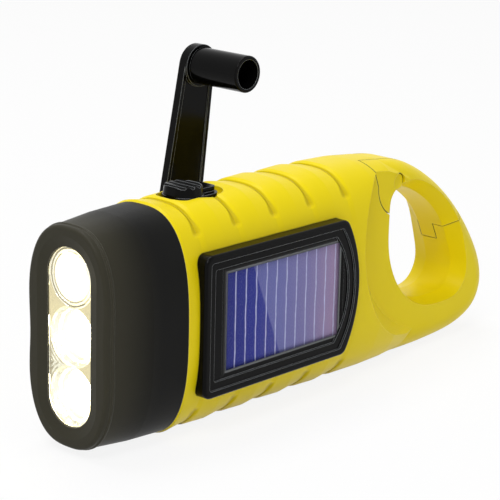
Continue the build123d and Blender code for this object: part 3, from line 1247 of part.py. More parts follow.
# ---------------------------------------------------------------- board, battery and wires
def build_electrics():
    board_low_y = BOARD_HIGH_Y - BOARD_THICKNESS
    with BuildPart() as board:
        add(box_between(
            (BOARD_LEFT, board_low_y, BOARD_BOTTOM),
            (BOARD_LEFT + BOARD_WIDTH, BOARD_HIGH_Y, BOARD_TOP)))
        add(box_between(
            (BOARD_LEFT, board_low_y, BOARD_TOP - BOARD_ARM_WIDTH),
            (BOARD_LEFT + BOARD_ARM_LENGTH, BOARD_HIGH_Y, BOARD_TOP)))
        # notch for the socket and for the battery
        add(box_between(
            (BOARD_LEFT - 1, board_low_y - 1, BOARD_BOTTOM - 1),
            (BOARD_LEFT + BOARD_WIDTH + 1, BOARD_HIGH_Y + 1, PORT_FLOOR_Z + USB_DEPTH)), mode=Mode.SUBTRACT)
        add(box_between(
            (BATTERY_FRONT - HOLDER_WALL - SLIDE_GAP, board_low_y - 1, BOARD_BOTTOM - 1),
            (BOARD_LEFT + BOARD_WIDTH + 1, BOARD_HIGH_Y + 1, BATTERY_Z + BATTERY_RADIUS + 2 * HOLDER_WALL)),
            mode=Mode.SUBTRACT)
    finish(board, "main_board")

    def along(low_x, high_x, radius):
        with BuildPart() as bar:
            with BuildSketch(Plane(origin=(low_x, BATTERY_Y, BATTERY_Z), x_dir=(0, 1, 0), z_dir=(1, 0, 0))):
                Circle(radius)
            extrude(amount=high_x - low_x)
        return bar.part

    rear = BATTERY_FRONT + BATTERY_LENGTH
    with BuildPart() as battery:
        add(along(BATTERY_FRONT + BATTERY_CAP, rear, BATTERY_RADIUS))
        add(along(BATTERY_FRONT, BATTERY_FRONT + BATTERY_CAP, BATTERY_RADIUS / 2))
    finish(battery, "battery")

    with BuildPart() as holder:
        for low in (BATTERY_FRONT + HOLDER_INSET, rear - HOLDER_INSET - HOLDER_LENGTH):
            add(box_between(
                (low, CAVITY_FLOOR_Y, BATTERY_Z + HOLDER_WALL),
                (low + HOLDER_LENGTH, BATTERY_Y, BATTERY_Z + BATTERY_RADIUS + HOLDER_WALL)))
        add(along(BATTERY_FRONT, rear, BATTERY_RADIUS + RUNNING_FIT), mode=Mode.SUBTRACT)
    finish(holder, "battery_clips")

    # two wires each from the LED board, the generator and the solar panel
    led_back = REFLECTOR_REAR + LED_BOARD_THICKNESS
    routes = []
    for z in LED_WIRE_HEIGHTS:
        corner = (LED_WIRE_X, LED_WIRE_Y, z)
        routes.append([(led_back, LED_WIRE_Y, z), corner, (LED_WIRE_X, board_low_y, z)])
    for offset in COIL_WIRE_OFFSETS:
        z = GEAR_CENTRE_3[1] + offset
        nearest = max(0, abs(offset) - WIRE_RADIUS)
        start_x = GEAR_CENTRE_3[0] - math.sqrt(CAN_RADIUS**2 - nearest**2) - SLIDE_GAP
        corner = (COIL_WIRE_X, COIL_WIRE_Y, z)
        routes.append([(start_x, COIL_WIRE_Y, z), corner, (COIL_WIRE_X, board_low_y, z)])
    with BuildPart() as wires:
        for route in routes:
            with BuildLine():
                path = FilletPolyline(*route, radius=WIRE_BEND)
            with BuildSketch(Plane(path @ 0, z_dir=path % 0)):
                Circle(WIRE_RADIUS)
            sweep(path=path)
        for z in SOLAR_WIRE_HEIGHTS:
            add(rod(SOLAR_WIRE_X, z, FRAME_SEAT_Y, board_low_y, WIRE_RADIUS))
    finish(wires, "wires")


def main():
    grip = grip_body()
    outer = outer_body(grip)
    build_housing(outer)
    build_side_cover(grip)
    build_gate(outer)
    build_head()
    build_lamps()
    build_solar()
    build_switch()
    build_charging(grip)
    build_crank()
    build_gears()
    build_electrics()


if __name__ == "__main__":
    main()
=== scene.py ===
"""Looks of a hand crank torch, laid out as a Blender add-on: its finishes, its finer pieces and its stage.

Everything is in metres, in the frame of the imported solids: the origin is the centre of the clear window's
outer face, +X runs to the hook, +Z is the switch side, -Y the solar side and +Y the crank side.
"""

import math

import bmesh
import bpy
from mathutils import Matrix, Vector


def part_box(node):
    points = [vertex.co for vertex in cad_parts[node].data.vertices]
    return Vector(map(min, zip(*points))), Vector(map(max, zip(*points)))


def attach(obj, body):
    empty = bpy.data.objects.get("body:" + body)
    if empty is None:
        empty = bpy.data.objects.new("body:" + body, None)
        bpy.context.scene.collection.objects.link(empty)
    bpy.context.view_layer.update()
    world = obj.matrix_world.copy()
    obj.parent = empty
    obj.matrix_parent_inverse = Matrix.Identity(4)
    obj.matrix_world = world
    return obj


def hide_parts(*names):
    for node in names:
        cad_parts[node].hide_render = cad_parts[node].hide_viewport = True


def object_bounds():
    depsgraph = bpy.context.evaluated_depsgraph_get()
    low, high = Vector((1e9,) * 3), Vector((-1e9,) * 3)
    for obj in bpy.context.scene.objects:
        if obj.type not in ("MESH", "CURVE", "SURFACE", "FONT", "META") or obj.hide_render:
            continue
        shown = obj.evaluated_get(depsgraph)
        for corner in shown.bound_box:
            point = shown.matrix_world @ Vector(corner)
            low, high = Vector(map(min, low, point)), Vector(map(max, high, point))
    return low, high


bl_info = {
    "name": "Hand crank torch",
    "version": (1, 0, 0),
    "blender": (4, 5, 0),
    "location": "View3D > Sidebar > Torch",
    "description": "Dresses the packed solids of a hand crank torch and sets its studio stage",
    "category": "Object",
}

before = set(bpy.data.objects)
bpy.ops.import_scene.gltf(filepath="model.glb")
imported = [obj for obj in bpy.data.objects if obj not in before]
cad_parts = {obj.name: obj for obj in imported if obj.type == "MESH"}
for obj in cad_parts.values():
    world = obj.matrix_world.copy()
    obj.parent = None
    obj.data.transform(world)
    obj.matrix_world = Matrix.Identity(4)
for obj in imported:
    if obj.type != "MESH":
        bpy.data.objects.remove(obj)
CAD_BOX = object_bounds()
MM = 0.001
ROOT_BODY = "torch"
TOUCH = 0.01 * MM               # places nearer than this count as the same

# the reflector fills the room from the window to the lamps' collars
LAMP_PITCH = 12.75 * MM
REFLECTOR_HALF_WIDTH = 6.9 * MM
COLLAR_ROOM = 1.0 * MM          # from the reflector to the board
COLLAR_LENGTH = 0.9 * MM
COLLAR_BEVEL = 0.15 * MM
WINDOW_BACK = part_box("lens_window")[1].x
BOWL_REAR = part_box("leds")[1].x - COLLAR_ROOM
BOWL_RINGS = 10                 # steps that a bowl's curve is drawn in
OVERCUT = 0.2 * MM              # how far the bowl's cutter reaches past the reflector at each end
FACING_FRONT = (0, -math.pi / 2, 0)     # lays a primitive's axis along the torch
SMOOTH_ANGLE = math.radians(35)
BOWL_SMOOTH_ANGLE = math.radians(30)

# painted glow on the bowls, standing in for the lamps' light, by distance from a lamp's axis
GLOW_FULL = 3.9 * MM
GLOW_END = 5.7 * MM
TURNED_PITCH = 0.8 * MM         # of the rings that the mould's turned core leaves in a bowl
TURNED_WANDER = 0.3 * MM

# painted light on the head, from its front edge to where it ends
RIM_LIGHT_FRONT = -1.0 * MM
RIM_LIGHT_END = 14.0 * MM
SEAM_REACH = 0.9 * MM           # how far the painted seam shade reaches out of a seam

# creases of the grip and the groove along each
GRIP_FIRST = 25.6 * MM
GRIP_PITCH = 11.9 * MM
GRIP_COUNT = 5
CREASE_TAIL_Z = 19.6 * MM       # height on the flank at which a crease ends
GROOVE_FADE = 1.1 * MM          # length over which a groove fades below its crease's end
GROOVE_DEPTH = 0.45 * MM
GROOVE_HALF_WIDTH = 0.65 * MM
DIMPLE_HALF_WIDTH = 1.5 * MM    # of the groove where its crease ends
DIMPLE_LENGTH = 2.6 * MM

# solar cell, its film with a painted reflection, and the silver fingers printed on it
CELL_LEFT = 30.9 * MM
CELL_RIGHT = 67.0 * MM
FILM_PATCH = 4.0 * MM           # how far the film's tones wander along the cell
REFLECTION_EDGE = CELL_LEFT + 12.8 * MM      # where the painted reflection's lighter band begins, at the cell's middle height
REFLECTION_EDGE_WIDTH = 0.5 * MM
REFLECTION_SLANT = 0.42               # how far that band's edge leans back for each step up
FINGER_FIRST = CELL_LEFT + 3.5 * MM
FINGER_PITCH = 3.22 * MM
FINGER_WIDTH = 0.34 * MM
FINGER_WANDER = 0.55 * MM

# studio
FLOOR_SIZE = 6.0
FLOOR_GLOW = 0.88               # share of the floor that shines white by itself
WORLD_LIGHT = 0.34
SENSOR_WIDTH = 36.0             # the camera's, in millimetres
NEAREST_SEEN = 0.01
LAMP_AIM = (0.06, 0, 0)
STUDIO_LAMPS = (                # name, place, (width, height), watts
    ("key", (-0.55, -0.35, 0.9), (0.4, 0.4), 5.4),
    ("fill", (0.85, -0.75, 0.25), (0.4, 0.6), 0.25),
    ("top", (0.05, 0.25, 0.95), (0.7, 0.35), 4.8),
)


# ------------------------------------------------------------------ small helpers
def linear(hex_colour):
    """Linear colour of an sRGB hex value."""
    channels = []
    for start in (1, 3, 5):
        value = int(hex_colour[start:start + 2], 16) / 255
        channels.append(value / 12.92 if value <= 0.04045 else ((value + 0.055) / 1.055) ** 2.4)
    return (*channels, 1.0)


def node(tree, kind, inputs=None, **settings):
    """Add a shader node with its settings. An input is a value for its socket, or what is linked to it: a
    node's output, or a node, which gives its first output."""
    made = tree.nodes.new(kind)
    for name, value in settings.items():
        setattr(made, name, value)
    for socket, given in (inputs or {}).items():
        source = given.outputs[0] if isinstance(given, bpy.types.Node) else given
        if isinstance(source, bpy.types.NodeSocket):
            tree.links.new(source, made.inputs[socket])
        else:
            made.inputs[socket].default_value = source
    return made


def new_material(name):
    """Empty material and its tree."""
    material = bpy.data.materials.new(name)
    material.use_nodes = True
    material.node_tree.nodes.clear()
    return material, material.node_tree


def per_mm(size_mm):
    """Texture scale at which one cell of the pattern is size_mm wide."""
    return 1 / (size_mm * MM)


def paint(names, material):
    """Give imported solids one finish."""
    for name in names:
        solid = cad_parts[name]
        solid.data.materials.clear()
        solid.data.materials.append(material)


def begin(add_primitive, name, **settings):
    """Add a primitive, put its place into its mesh and open it for editing with nothing selected."""
    bpy.ops.object.select_all(action="DESELECT")
    add_primitive(**settings)
    piece = bpy.context.active_object
    piece.name = piece.data.name = name
    bpy.ops.object.transform_apply(location=True, rotation=True, scale=True)
    bpy.ops.object.mode_set(mode="EDIT")
    bpy.ops.mesh.select_all(action="DESELECT")
    return piece


def pick(piece, mode, test):
    """Select the vertices, edges or faces whose middle passes a test."""
    bpy.ops.mesh.select_mode(type=mode)
    bpy.ops.mesh.select_all(action="DESELECT")
    shape = bmesh.from_edit_mesh(piece.data)
    found = 0
    for element in {"VERT": shape.verts, "EDGE": shape.edges, "FACE": shape.faces}[mode]:
        corners = [element.co] if mode == "VERT" else [corner.co for corner in element.verts]
        if test(sum(corners, Vector()) / len(corners)):
            element.select_set(True)
            found += 1
    if not found:
        raise ValueError(f"{piece.name}: nothing to select")
    shape.select_flush_mode()
    bmesh.update_edit_mesh(piece.data)


def draw_out(length, scale=1.0):
    """Extrude what is selected along the torch, then scale it about the middle lamp's axis."""
    bpy.ops.mesh.extrude_region_move(TRANSFORM_OT_translate={"value": (length, 0, 0)})
    if scale != 1.0:
        bpy.ops.transform.resize(value=(1, scale, scale), center_override=(0, 0, 0))


def close():
    """Make the faces point outwards, leave edit mode and shade the piece."""
    bpy.ops.mesh.select_all(action="SELECT")
    bpy.ops.mesh.remove_doubles(threshold=0.1 * TOUCH)
    bpy.ops.mesh.normals_make_consistent(inside=False)
    bpy.ops.object.mode_set(mode="OBJECT")
    bpy.ops.object.shade_smooth_by_angle(angle=SMOOTH_ANGLE)


def only(piece):
    """Select one object and make it active."""
    bpy.ops.object.select_all(action="DESELECT")
    piece.select_set(True)
    bpy.context.view_layer.objects.active = piece


def copy_at_height(piece, height):
    """Copy a piece with its own mesh and move the copy up."""
    only(piece)
    bpy.ops.object.duplicate(linked=False)
    bpy.ops.transform.translate(value=(0, 0, height))
    bpy.ops.object.transform_apply(location=True, rotation=True, scale=True)
    return bpy.context.active_object


def join(piece, others):
    """Join other pieces into one."""
    only(piece)
    for other in others:
        other.select_set(True)
    bpy.ops.object.join()


def cut_away(piece, cutter):
    """Cut a piece by another, which is then deleted."""
    only(piece)
    bpy.ops.object.modifier_add(type="BOOLEAN")
    cut = piece.modifiers[-1]
    cut.operation, cut.solver, cut.object = "DIFFERENCE", "EXACT", cutter
    bpy.ops.object.modifier_apply(modifier=cut.name)
    only(cutter)
    bpy.ops.object.delete()


def finish_piece(piece, body, material, slot, *stands_for):
    """Give a piece its finish, its body and the solids that it stands for. The slot argument is not used."""
    piece.data.materials.clear()
    piece.data.materials.append(material)
    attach(piece, body)
    if stands_for:
        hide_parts(*stands_for)


# ------------------------------------------------------------------ patterns
def grip_grooves(tree, place):
    """Grooves that the mould cuts along the creases of the grip: 1 in their middle, 0 beside them.
    Each is fine over the top and the underside, and widens to a soft dimple where it ends on the flank."""
    axes = node(tree, "ShaderNodeSeparateXYZ", {0: place})
    height = node(tree, "ShaderNodeMath", {0: axes.outputs["Z"]}, operation="ABSOLUTE")
    past_first = node(tree, "ShaderNodeMath", {0: axes.outputs["X"], 1: GRIP_FIRST}, operation="SUBTRACT")
    steps = node(tree, "ShaderNodeMath", {0: past_first, 1: GRIP_PITCH}, operation="DIVIDE")
    rounded = node(tree, "ShaderNodeMath", {0: steps}, operation="ROUND")
    not_before = node(tree, "ShaderNodeMath", {0: rounded, 1: 0}, operation="MAXIMUM")
    nearest = node(tree, "ShaderNodeMath", {0: not_before, 1: GRIP_COUNT - 1}, operation="MINIMUM")
    offset = node(tree, "ShaderNodeMath", {0: steps, 1: nearest}, operation="SUBTRACT")
    size = node(tree, "ShaderNodeMath", {0: offset}, operation="ABSOLUTE")
    away = node(tree, "ShaderNodeMath", {0: size, 1: GRIP_PITCH}, operation="MULTIPLY")
    half_width = node(
        tree, "ShaderNodeMapRange",
        {"Value": height, "From Min": CREASE_TAIL_Z, "From Max": CREASE_TAIL_Z + DIMPLE_LENGTH,
         "To Min": DIMPLE_HALF_WIDTH, "To Max": GROOVE_HALF_WIDTH}, interpolation_type="SMOOTHSTEP")
    groove = node(
        tree, "ShaderNodeMapRange",
        {"Value": away, "From Min": 0.0, "From Max": half_width, "To Min": 1.0, "To Max": 0.0},
        interpolation_type="SMOOTHSTEP")
    ends = node(
        tree, "ShaderNodeMapRange",
        {"Value": height, "From Min": CREASE_TAIL_Z - GROOVE_FADE, "From Max": CREASE_TAIL_Z},
        interpolation_type="SMOOTHSTEP")
    return node(tree, "ShaderNodeMath", {0: groove, 1: ends}, operation="MULTIPLY")


def painted_rim_light(tree, place):
    """Mask for a painted light band on the head: 1 at its front edge, fading towards the body."""
    axes = node(tree, "ShaderNodeSeparateXYZ", {0: place})
    return node(
        tree, "ShaderNodeMapRange",
        {"Value": axes.outputs["X"], "From Min": RIM_LIGHT_FRONT, "From Max": RIM_LIGHT_END,
         "To Min": 1.0, "To Max": 0.0}, interpolation_type="SMOOTHSTEP")


def painted_edge_highlight(tree, softened):
    """Painted highlight mask: 1 where the softened normal leaves the face's own, which is at a sharp edge.
    """
    flat = node(tree, "ShaderNodeNewGeometry")
    alike = node(
        tree, "ShaderNodeVectorMath", {0: softened, 1: flat.outputs["Normal"]}, operation="DOT_PRODUCT")
    return node(
        tree, "ShaderNodeMapRange",
        {"Value": alike.outputs["Value"], "From Min": 0.97, "From Max": 0.8, "To Min": 0.0, "To Max": 1.0},
        interpolation_type="SMOOTHSTEP")


def painted_seam_shade(tree):
    """Nearly 1 in the narrow gaps between two mouldings, where painted shade darkens them."""
    nearby = node(tree, "ShaderNodeAmbientOcclusion", {"Distance": SEAM_REACH}, samples=8)
    return node(
        tree, "ShaderNodeMapRange",
        {"Value": nearby.outputs["AO"], "From Min": 0.15, "From Max": 0.62, "To Min": 0.9, "To Max": 0.0},
        interpolation_type="SMOOTHSTEP")


def distance_from_lamp(tree, place):
    """Distance of a place from the axis of the nearest lamp."""
    axes = node(tree, "ShaderNodeSeparateXYZ", {0: place})
    across, height = axes.outputs["Y"], axes.outputs["Z"]
    steps = node(tree, "ShaderNodeMath", {0: height, 1: LAMP_PITCH}, operation="DIVIDE")
    rounded = node(tree, "ShaderNodeMath", {0: steps}, operation="ROUND")
    nearest = node(tree, "ShaderNodeMath", {0: rounded, 1: LAMP_PITCH}, operation="MULTIPLY")
    beside = node(tree, "ShaderNodeMath", {0: height, 1: nearest}, operation="SUBTRACT")
    squared = node(tree, "ShaderNodeMath", {0: beside, 1: beside}, operation="MULTIPLY")
    summed = node(tree, "ShaderNodeMath", {0: across, 1: across, 2: squared}, operation="MULTIPLY_ADD")
    return node(tree, "ShaderNodeMath", {0: summed}, operation="SQRT")


def printed_fingers(tree, place, along):
    """1 on the cell's screen-printed silver fingers, whose edges wander by about 0.2 mm and whose silver is
    speckled."""
    wander = node(tree, "ShaderNodeTexNoise", {"Vector": place, "Scale": per_mm(5), "Detail": 2.0})
    line = node(
        tree, "ShaderNodeMath", {0: wander, 1: FINGER_WANDER, 2: along}, operation="MULTIPLY_ADD")
    past_first = node(tree, "ShaderNodeMath", {0: line, 1: FINGER_FIRST}, operation="SUBTRACT")
    steps = node(tree, "ShaderNodeMath", {0: past_first, 1: FINGER_PITCH}, operation="DIVIDE")
    nearest = node(tree, "ShaderNodeMath", {0: steps}, operation="ROUND")
    offset = node(tree, "ShaderNodeMath", {0: steps, 1: nearest}, operation="SUBTRACT")
    away = node(tree, "ShaderNodeMath", {0: offset}, operation="ABSOLUTE")
    width = FINGER_WIDTH / FINGER_PITCH
    printed = node(
        tree, "ShaderNodeMapRange",
        {"Value": away, "From Min": 0.25 * width, "From Max": 0.75 * width, "To Min": 1.0, "To Max": 0.0},
        interpolation_type="SMOOTHSTEP")
    speckle = node(tree, "ShaderNodeTexNoise", {"Vector": place, "Scale": per_mm(0.8), "Detail": 2.0})
    cover = node(tree, "ShaderNodeMath", {0: speckle, 1: 0.9, 2: 0.35}, operation="MULTIPLY_ADD")
    return node(tree, "ShaderNodeMath", {0: printed, 1: cover}, operation="MULTIPLY", use_clamp=True)


def background_rays(tree):
    """1 for rays that show the background: straight from the camera, mirrored or through glass."""
    path = node(tree, "ShaderNodeLightPath")
    bounced = node(
        tree, "ShaderNodeMath", {0: path.outputs["Is Glossy Ray"], 1: path.outputs["Is Transmission Ray"]},
        operation="MAXIMUM")
    return node(tree, "ShaderNodeMath", {0: path.outputs["Is Camera Ray"], 1: bounced}, operation="MAXIMUM")


# ------------------------------------------------------------------ finishes
def moulding(name, colour, shade, roughness, grain_mm, grain_depth_mm, level=0.5, edge_highlight=None,
             groove_shade=None, rim=None, seam_shade=None):
    """Moulded plastic, mostly ABS, and what has a like surface, such as sintered ferrite or a lacquered
    board: the tool's fine grain shows as a soft, slightly uneven sheen, and the pigment drifts a little in
    tone over a few centimetres. Sharp edges take a painted highlight in the edge highlight tone, the grooves
    of a grip take painted shade in the groove shade tone, the front rim takes a painted light band in the
    rim tone, and painted shade darkens the seams where two mouldings meet."""
    material, tree = new_material(name)
    place = node(tree, "ShaderNodeTexCoord").outputs["Object"]
    drift = node(
        tree, "ShaderNodeTexNoise", {"Vector": place, "Scale": per_mm(28), "Detail": 2.0, "Roughness": 0.4})
    tone = node(
        tree, "ShaderNodeMixRGB", {"Fac": drift, "Color1": linear(colour), "Color2": linear(shade)})
    grain = node(
        tree, "ShaderNodeTexNoise",
        {"Vector": place, "Scale": per_mm(grain_mm), "Detail": 3.0, "Roughness": 0.6})
    sheen = node(
        tree, "ShaderNodeMapRange",
        {"Value": grain, "To Min": roughness - 0.05, "To Max": roughness + 0.06})
    # painted light: the head's front is lightened towards the rim tone, fading towards the body
    if rim:
        painted_light_mask = painted_rim_light(tree, place)
        tone = node(tree, "ShaderNodeMixRGB", {"Fac": painted_light_mask, "Color1": tone, "Color2": linear(rim)})
    radius = bpy.context.scene.torch_colours.edge_radius
    edge = node(tree, "ShaderNodeBevel", {"Radius": radius}, samples=6)
    # painted highlight: sharp edges are lightened towards the edge highlight tone
    if edge_highlight:
        painted_light_mask = painted_edge_highlight(tree, edge)
        tone = node(tree, "ShaderNodeMixRGB", {"Fac": painted_light_mask, "Color1": tone, "Color2": linear(edge_highlight)})
    bump = node(
        tree, "ShaderNodeBump",
        {"Height": grain, "Normal": edge, "Strength": 0.5, "Distance": grain_depth_mm * MM})
    if groove_shade:
        grooves = grip_grooves(tree, place)
        bump = node(
            tree, "ShaderNodeBump",
            {"Height": grooves, "Normal": bump, "Strength": 1.0, "Distance": GROOVE_DEPTH}, invert=True)
        # painted shade: the grooves' tone is darkened towards the groove shade tone
        share = node(tree, "ShaderNodeMath", {0: grooves, 1: 0.45}, operation="MULTIPLY")
        tone = node(tree, "ShaderNodeMixRGB", {"Fac": share, "Color1": tone, "Color2": linear(groove_shade)})
    # painted shade: ambient occlusion darkens the seams towards the seam shade tone
    if seam_shade:
        seam_shade_mask = painted_seam_shade(tree)
        tone = node(tree, "ShaderNodeMixRGB", {"Fac": seam_shade_mask, "Color1": tone, "Color2": linear(seam_shade)})
    shader = node(
        tree, "ShaderNodeBsdfPrincipled",
        {"Base Color": tone, "Roughness": sheen, "Normal": bump, "IOR": 1.53, "Specular IOR Level": level})
    node(tree, "ShaderNodeOutputMaterial", {"Surface": shader})
    return material


def rubber():
    """Moulded nitrile rubber: nearly black and matte, with a dry bloom."""
    return moulding("nitrile_rubber", "#191918", "#222220", 0.7, 0.5, 0.02)


def clear_polycarbonate():
    """Moulded clear polycarbonate: glass-like, with the faintest waviness from the mould."""
    material, tree = new_material("polycarbonate_clear")
    place = node(tree, "ShaderNodeTexCoord").outputs["Object"]
    wave = node(tree, "ShaderNodeTexNoise", {"Vector": place, "Scale": per_mm(6), "Detail": 1.0})
    bump = node(tree, "ShaderNodeBump", {"Height": wave, "Strength": 0.15, "Distance": 0.02 * MM})
    shader = node(
        tree, "ShaderNodeBsdfPrincipled",
        {"Base Color": linear("#fafcfb"), "Normal": bump, "IOR": 1.585, "Roughness": 0.03,
         "Transmission Weight": 1.0})
    node(tree, "ShaderNodeOutputMaterial", {"Surface": shader})
    return material


def clear_resin():
    """Thin epoxy sheet over the solar cell: nearly unseen, it only lays a faint gloss on the cell."""
    material, tree = new_material("epoxy_sheet_clear")
    place = node(tree, "ShaderNodeTexCoord").outputs["Object"]
    smear = node(tree, "ShaderNodeTexNoise", {"Vector": place, "Scale": per_mm(9), "Detail": 2.0})
    sheen = node(tree, "ShaderNodeMapRange", {"Value": smear, "To Min": 0.02, "To Max": 0.09})
    shader = node(
        tree, "ShaderNodeBsdfPrincipled",
        {"Base Color": linear("#9aa4c8"), "Roughness": sheen, "IOR": 1.5, "Specular IOR Level": 0.12,
         "Alpha": 0.04})
    node(tree, "ShaderNodeOutputMaterial", {"Surface": shader})
    return material


def chrome_with_painted_glow():
    """Vacuum-metallised bowls with their lamps on: a mirror with a painted warm white glow that stands in
    for the phosphor's light, strongest near the lamp and fading towards the rim. The mould's turned core
    leaves rings in each bowl."""
    material, tree = new_material("chrome_metallised_painted_glow")
    place = node(tree, "ShaderNodeTexCoord").outputs["Object"]
    from_lamp = distance_from_lamp(tree, place)
    wander = node(tree, "ShaderNodeTexNoise", {"Vector": place, "Scale": per_mm(1.5), "Detail": 1.0})
    uneven = node(
        tree, "ShaderNodeMath", {0: wander, 1: TURNED_WANDER, 2: from_lamp}, operation="MULTIPLY_ADD")
    rings = node(tree, "ShaderNodeMath", {0: uneven, 1: TURNED_PITCH / 2}, operation="PINGPONG")
    bump = node(tree, "ShaderNodeBump", {"Height": rings, "Strength": 0.55, "Distance": 1.0})
    # painted glow: the bowls emit warm white light, strongest near each lamp
    painted_glow = node(
        tree, "ShaderNodeMapRange",
        {"Value": from_lamp, "From Min": GLOW_FULL, "From Max": GLOW_END, "To Min": 2.2, "To Max": 0.35},
        interpolation_type="SMOOTHSTEP")
    shader = node(
        tree, "ShaderNodeBsdfPrincipled",
        {"Base Color": linear("#dcdad0"), "Metallic": 1.0, "Roughness": 0.12, "Normal": bump,
         "Emission Color": linear("#fff1c4"), "Emission Strength": painted_glow})
    node(tree, "ShaderNodeOutputMaterial", {"Surface": shader})
    return material


def lit_led():
    """Lit white LED: warm phosphor light through clear epoxy."""
    material, tree = new_material("led_phosphor_lit")
    shader = node(
        tree, "ShaderNodeBsdfPrincipled",
        {"Base Color": linear("#fff6d8"), "Roughness": 0.2, "Emission Color": linear("#fff3cf"),
         "Emission Strength": 12.0})
    node(tree, "ShaderNodeOutputMaterial", {"Surface": shader})
    return material


def metal(name, colour, roughness, scratch_mm):
    """Plated or turned metal: fine scratches left by barrel plating or the lathe break up its gloss."""
    material, tree = new_material(name)
    place = node(tree, "ShaderNodeTexCoord").outputs["Object"]
    scratch = node(
        tree, "ShaderNodeTexNoise",
        {"Vector": place, "Scale": per_mm(scratch_mm), "Detail": 4.0, "Roughness": 0.7})
    sheen = node(
        tree, "ShaderNodeMapRange", {"Value": scratch, "To Min": roughness * 0.6, "To Max": roughness * 1.5})
    shader = node(
        tree, "ShaderNodeBsdfPrincipled",
        {"Base Color": linear(colour), "Metallic": 1.0, "Roughness": sheen})
    node(tree, "ShaderNodeOutputMaterial", {"Surface": shader})
    return material


def amorphous_cell():
    """Amorphous silicon cell: its deep blue film carries a painted reflection that lightens it to lilac
    along the panel, with a lighter painted band behind a slanting edge, and screen-printed silver fingers
    cross it."""
    material, tree = new_material("amorphous_silicon")
    place = node(tree, "ShaderNodeTexCoord").outputs["Object"]
    axes = node(tree, "ShaderNodeSeparateXYZ", {0: place})
    along, height = axes.outputs["X"], axes.outputs["Z"]
    film = node(tree, "ShaderNodeTexNoise", {"Vector": place, "Scale": per_mm(16), "Detail": 2.0})
    patches = node(tree, "ShaderNodeMath", {0: film, 1: FILM_PATCH, 2: along}, operation="MULTIPLY_ADD")
    share = node(
        tree, "ShaderNodeMapRange",
        {"Value": patches, "From Min": CELL_LEFT, "From Max": CELL_RIGHT + FILM_PATCH / 2})
    # film colour and painted reflection: deep blue at the cell's left end, lightened to lilac along the
    # panel
    film_and_painted_reflection = node(tree, "ShaderNodeValToRGB", {0: share})
    ramp = film_and_painted_reflection.color_ramp
    ramp.elements[0].color = linear("#1c2379")
    ramp.elements[1].color = linear("#a88099")
    for position, colour in ((0.3, "#2a3194"), (0.5, "#4a4c9c"), (0.75, "#74649a")):
        ramp.elements.new(position).color = linear(colour)
    # painted reflection: the film is lightened behind a slanting edge
    front = node(tree, "ShaderNodeMath", {0: height, 1: REFLECTION_SLANT, 2: along}, operation="MULTIPLY_ADD")
    painted_reflection_band = node(
        tree, "ShaderNodeMapRange",
        {"Value": front, "From Min": REFLECTION_EDGE, "From Max": REFLECTION_EDGE + REFLECTION_EDGE_WIDTH, "To Min": 0.0,
         "To Max": 0.34}, interpolation_type="SMOOTHSTEP")
    tone = node(
        tree, "ShaderNodeMixRGB", {"Fac": painted_reflection_band, "Color1": film_and_painted_reflection, "Color2": linear("#a3a6da")})
    silver = printed_fingers(tree, place, along)
    coloured = node(
        tree, "ShaderNodeMixRGB", {"Fac": silver, "Color1": tone, "Color2": linear("#cfd3f2")})
    shader = node(
        tree, "ShaderNodeBsdfPrincipled",
        {"Base Color": coloured, "Roughness": 0.45, "Specular IOR Level": 0.15})
    node(tree, "ShaderNodeOutputMaterial", {"Surface": shader})
    return material


def studio_white():
    """Paper floor that the camera sees almost white, and that still shows the torch's shadow."""
    material, tree = new_material("floor_paper")
    seen = background_rays(tree)
    paper = node(tree, "ShaderNodeBsdfDiffuse", {"Color": linear("#f2f2f2")})
    glow = node(tree, "ShaderNodeEmission", {"Color": linear("#ffffff"), "Strength": 1.0})
    level = node(tree, "ShaderNodeMath", {0: seen, 1: FLOOR_GLOW}, operation="MULTIPLY")
    mixed = node(tree, "ShaderNodeMixShader", {0: level, 1: paper, 2: glow})
    node(tree, "ShaderNodeOutputMaterial", {"Surface": mixed})
    return material


# ------------------------------------------------------------------ settings
class TorchColours(bpy.types.PropertyGroup):
    """Colours of the torch's mouldings, as sRGB hex values, and the softness of their edges."""

    shell: bpy.props.StringProperty(
        name="Shell", description="Yellow of the body, side cover and gate", default="#f2dc10")
    shell_shade: bpy.props.StringProperty(
        name="Shell shade", description="Deeper tone that the yellow drifts to", default="#ead20c")
    head: bpy.props.StringProperty(
        name="Head", description="Satin black of the lamp head", default="#0d0d0c")
    gloss: bpy.props.StringProperty(
        name="Gloss black", description="Polished black of the crank, frame and switch", default="#050505")
    edge_radius: bpy.props.FloatProperty(
        name="Edge radius", description="Radius that the mould leaves on sharp edges", default=0.3 * MM,
        unit="LENGTH")


class TorchLamps(bpy.types.PropertyGroup):
    """Radii of the three lamps and of their bowls."""

    throat: bpy.props.FloatProperty(
        name="Throat", description="Radius of a bowl where the lamp comes through", default=2.5 * MM,
        unit="LENGTH")
    rim: bpy.props.FloatProperty(
        name="Rim", description="Radius of a bowl at the window, over half the lamps' pitch",
        default=6.55 * MM, unit="LENGTH")
    dome: bpy.props.FloatProperty(
        name="Dome", description="Radius of an LED's dome", default=1.6 * MM, unit="LENGTH")
    collar: bpy.props.FloatProperty(
        name="Collar", description="Radius of the collar under the dome", default=2.3 * MM, unit="LENGTH")


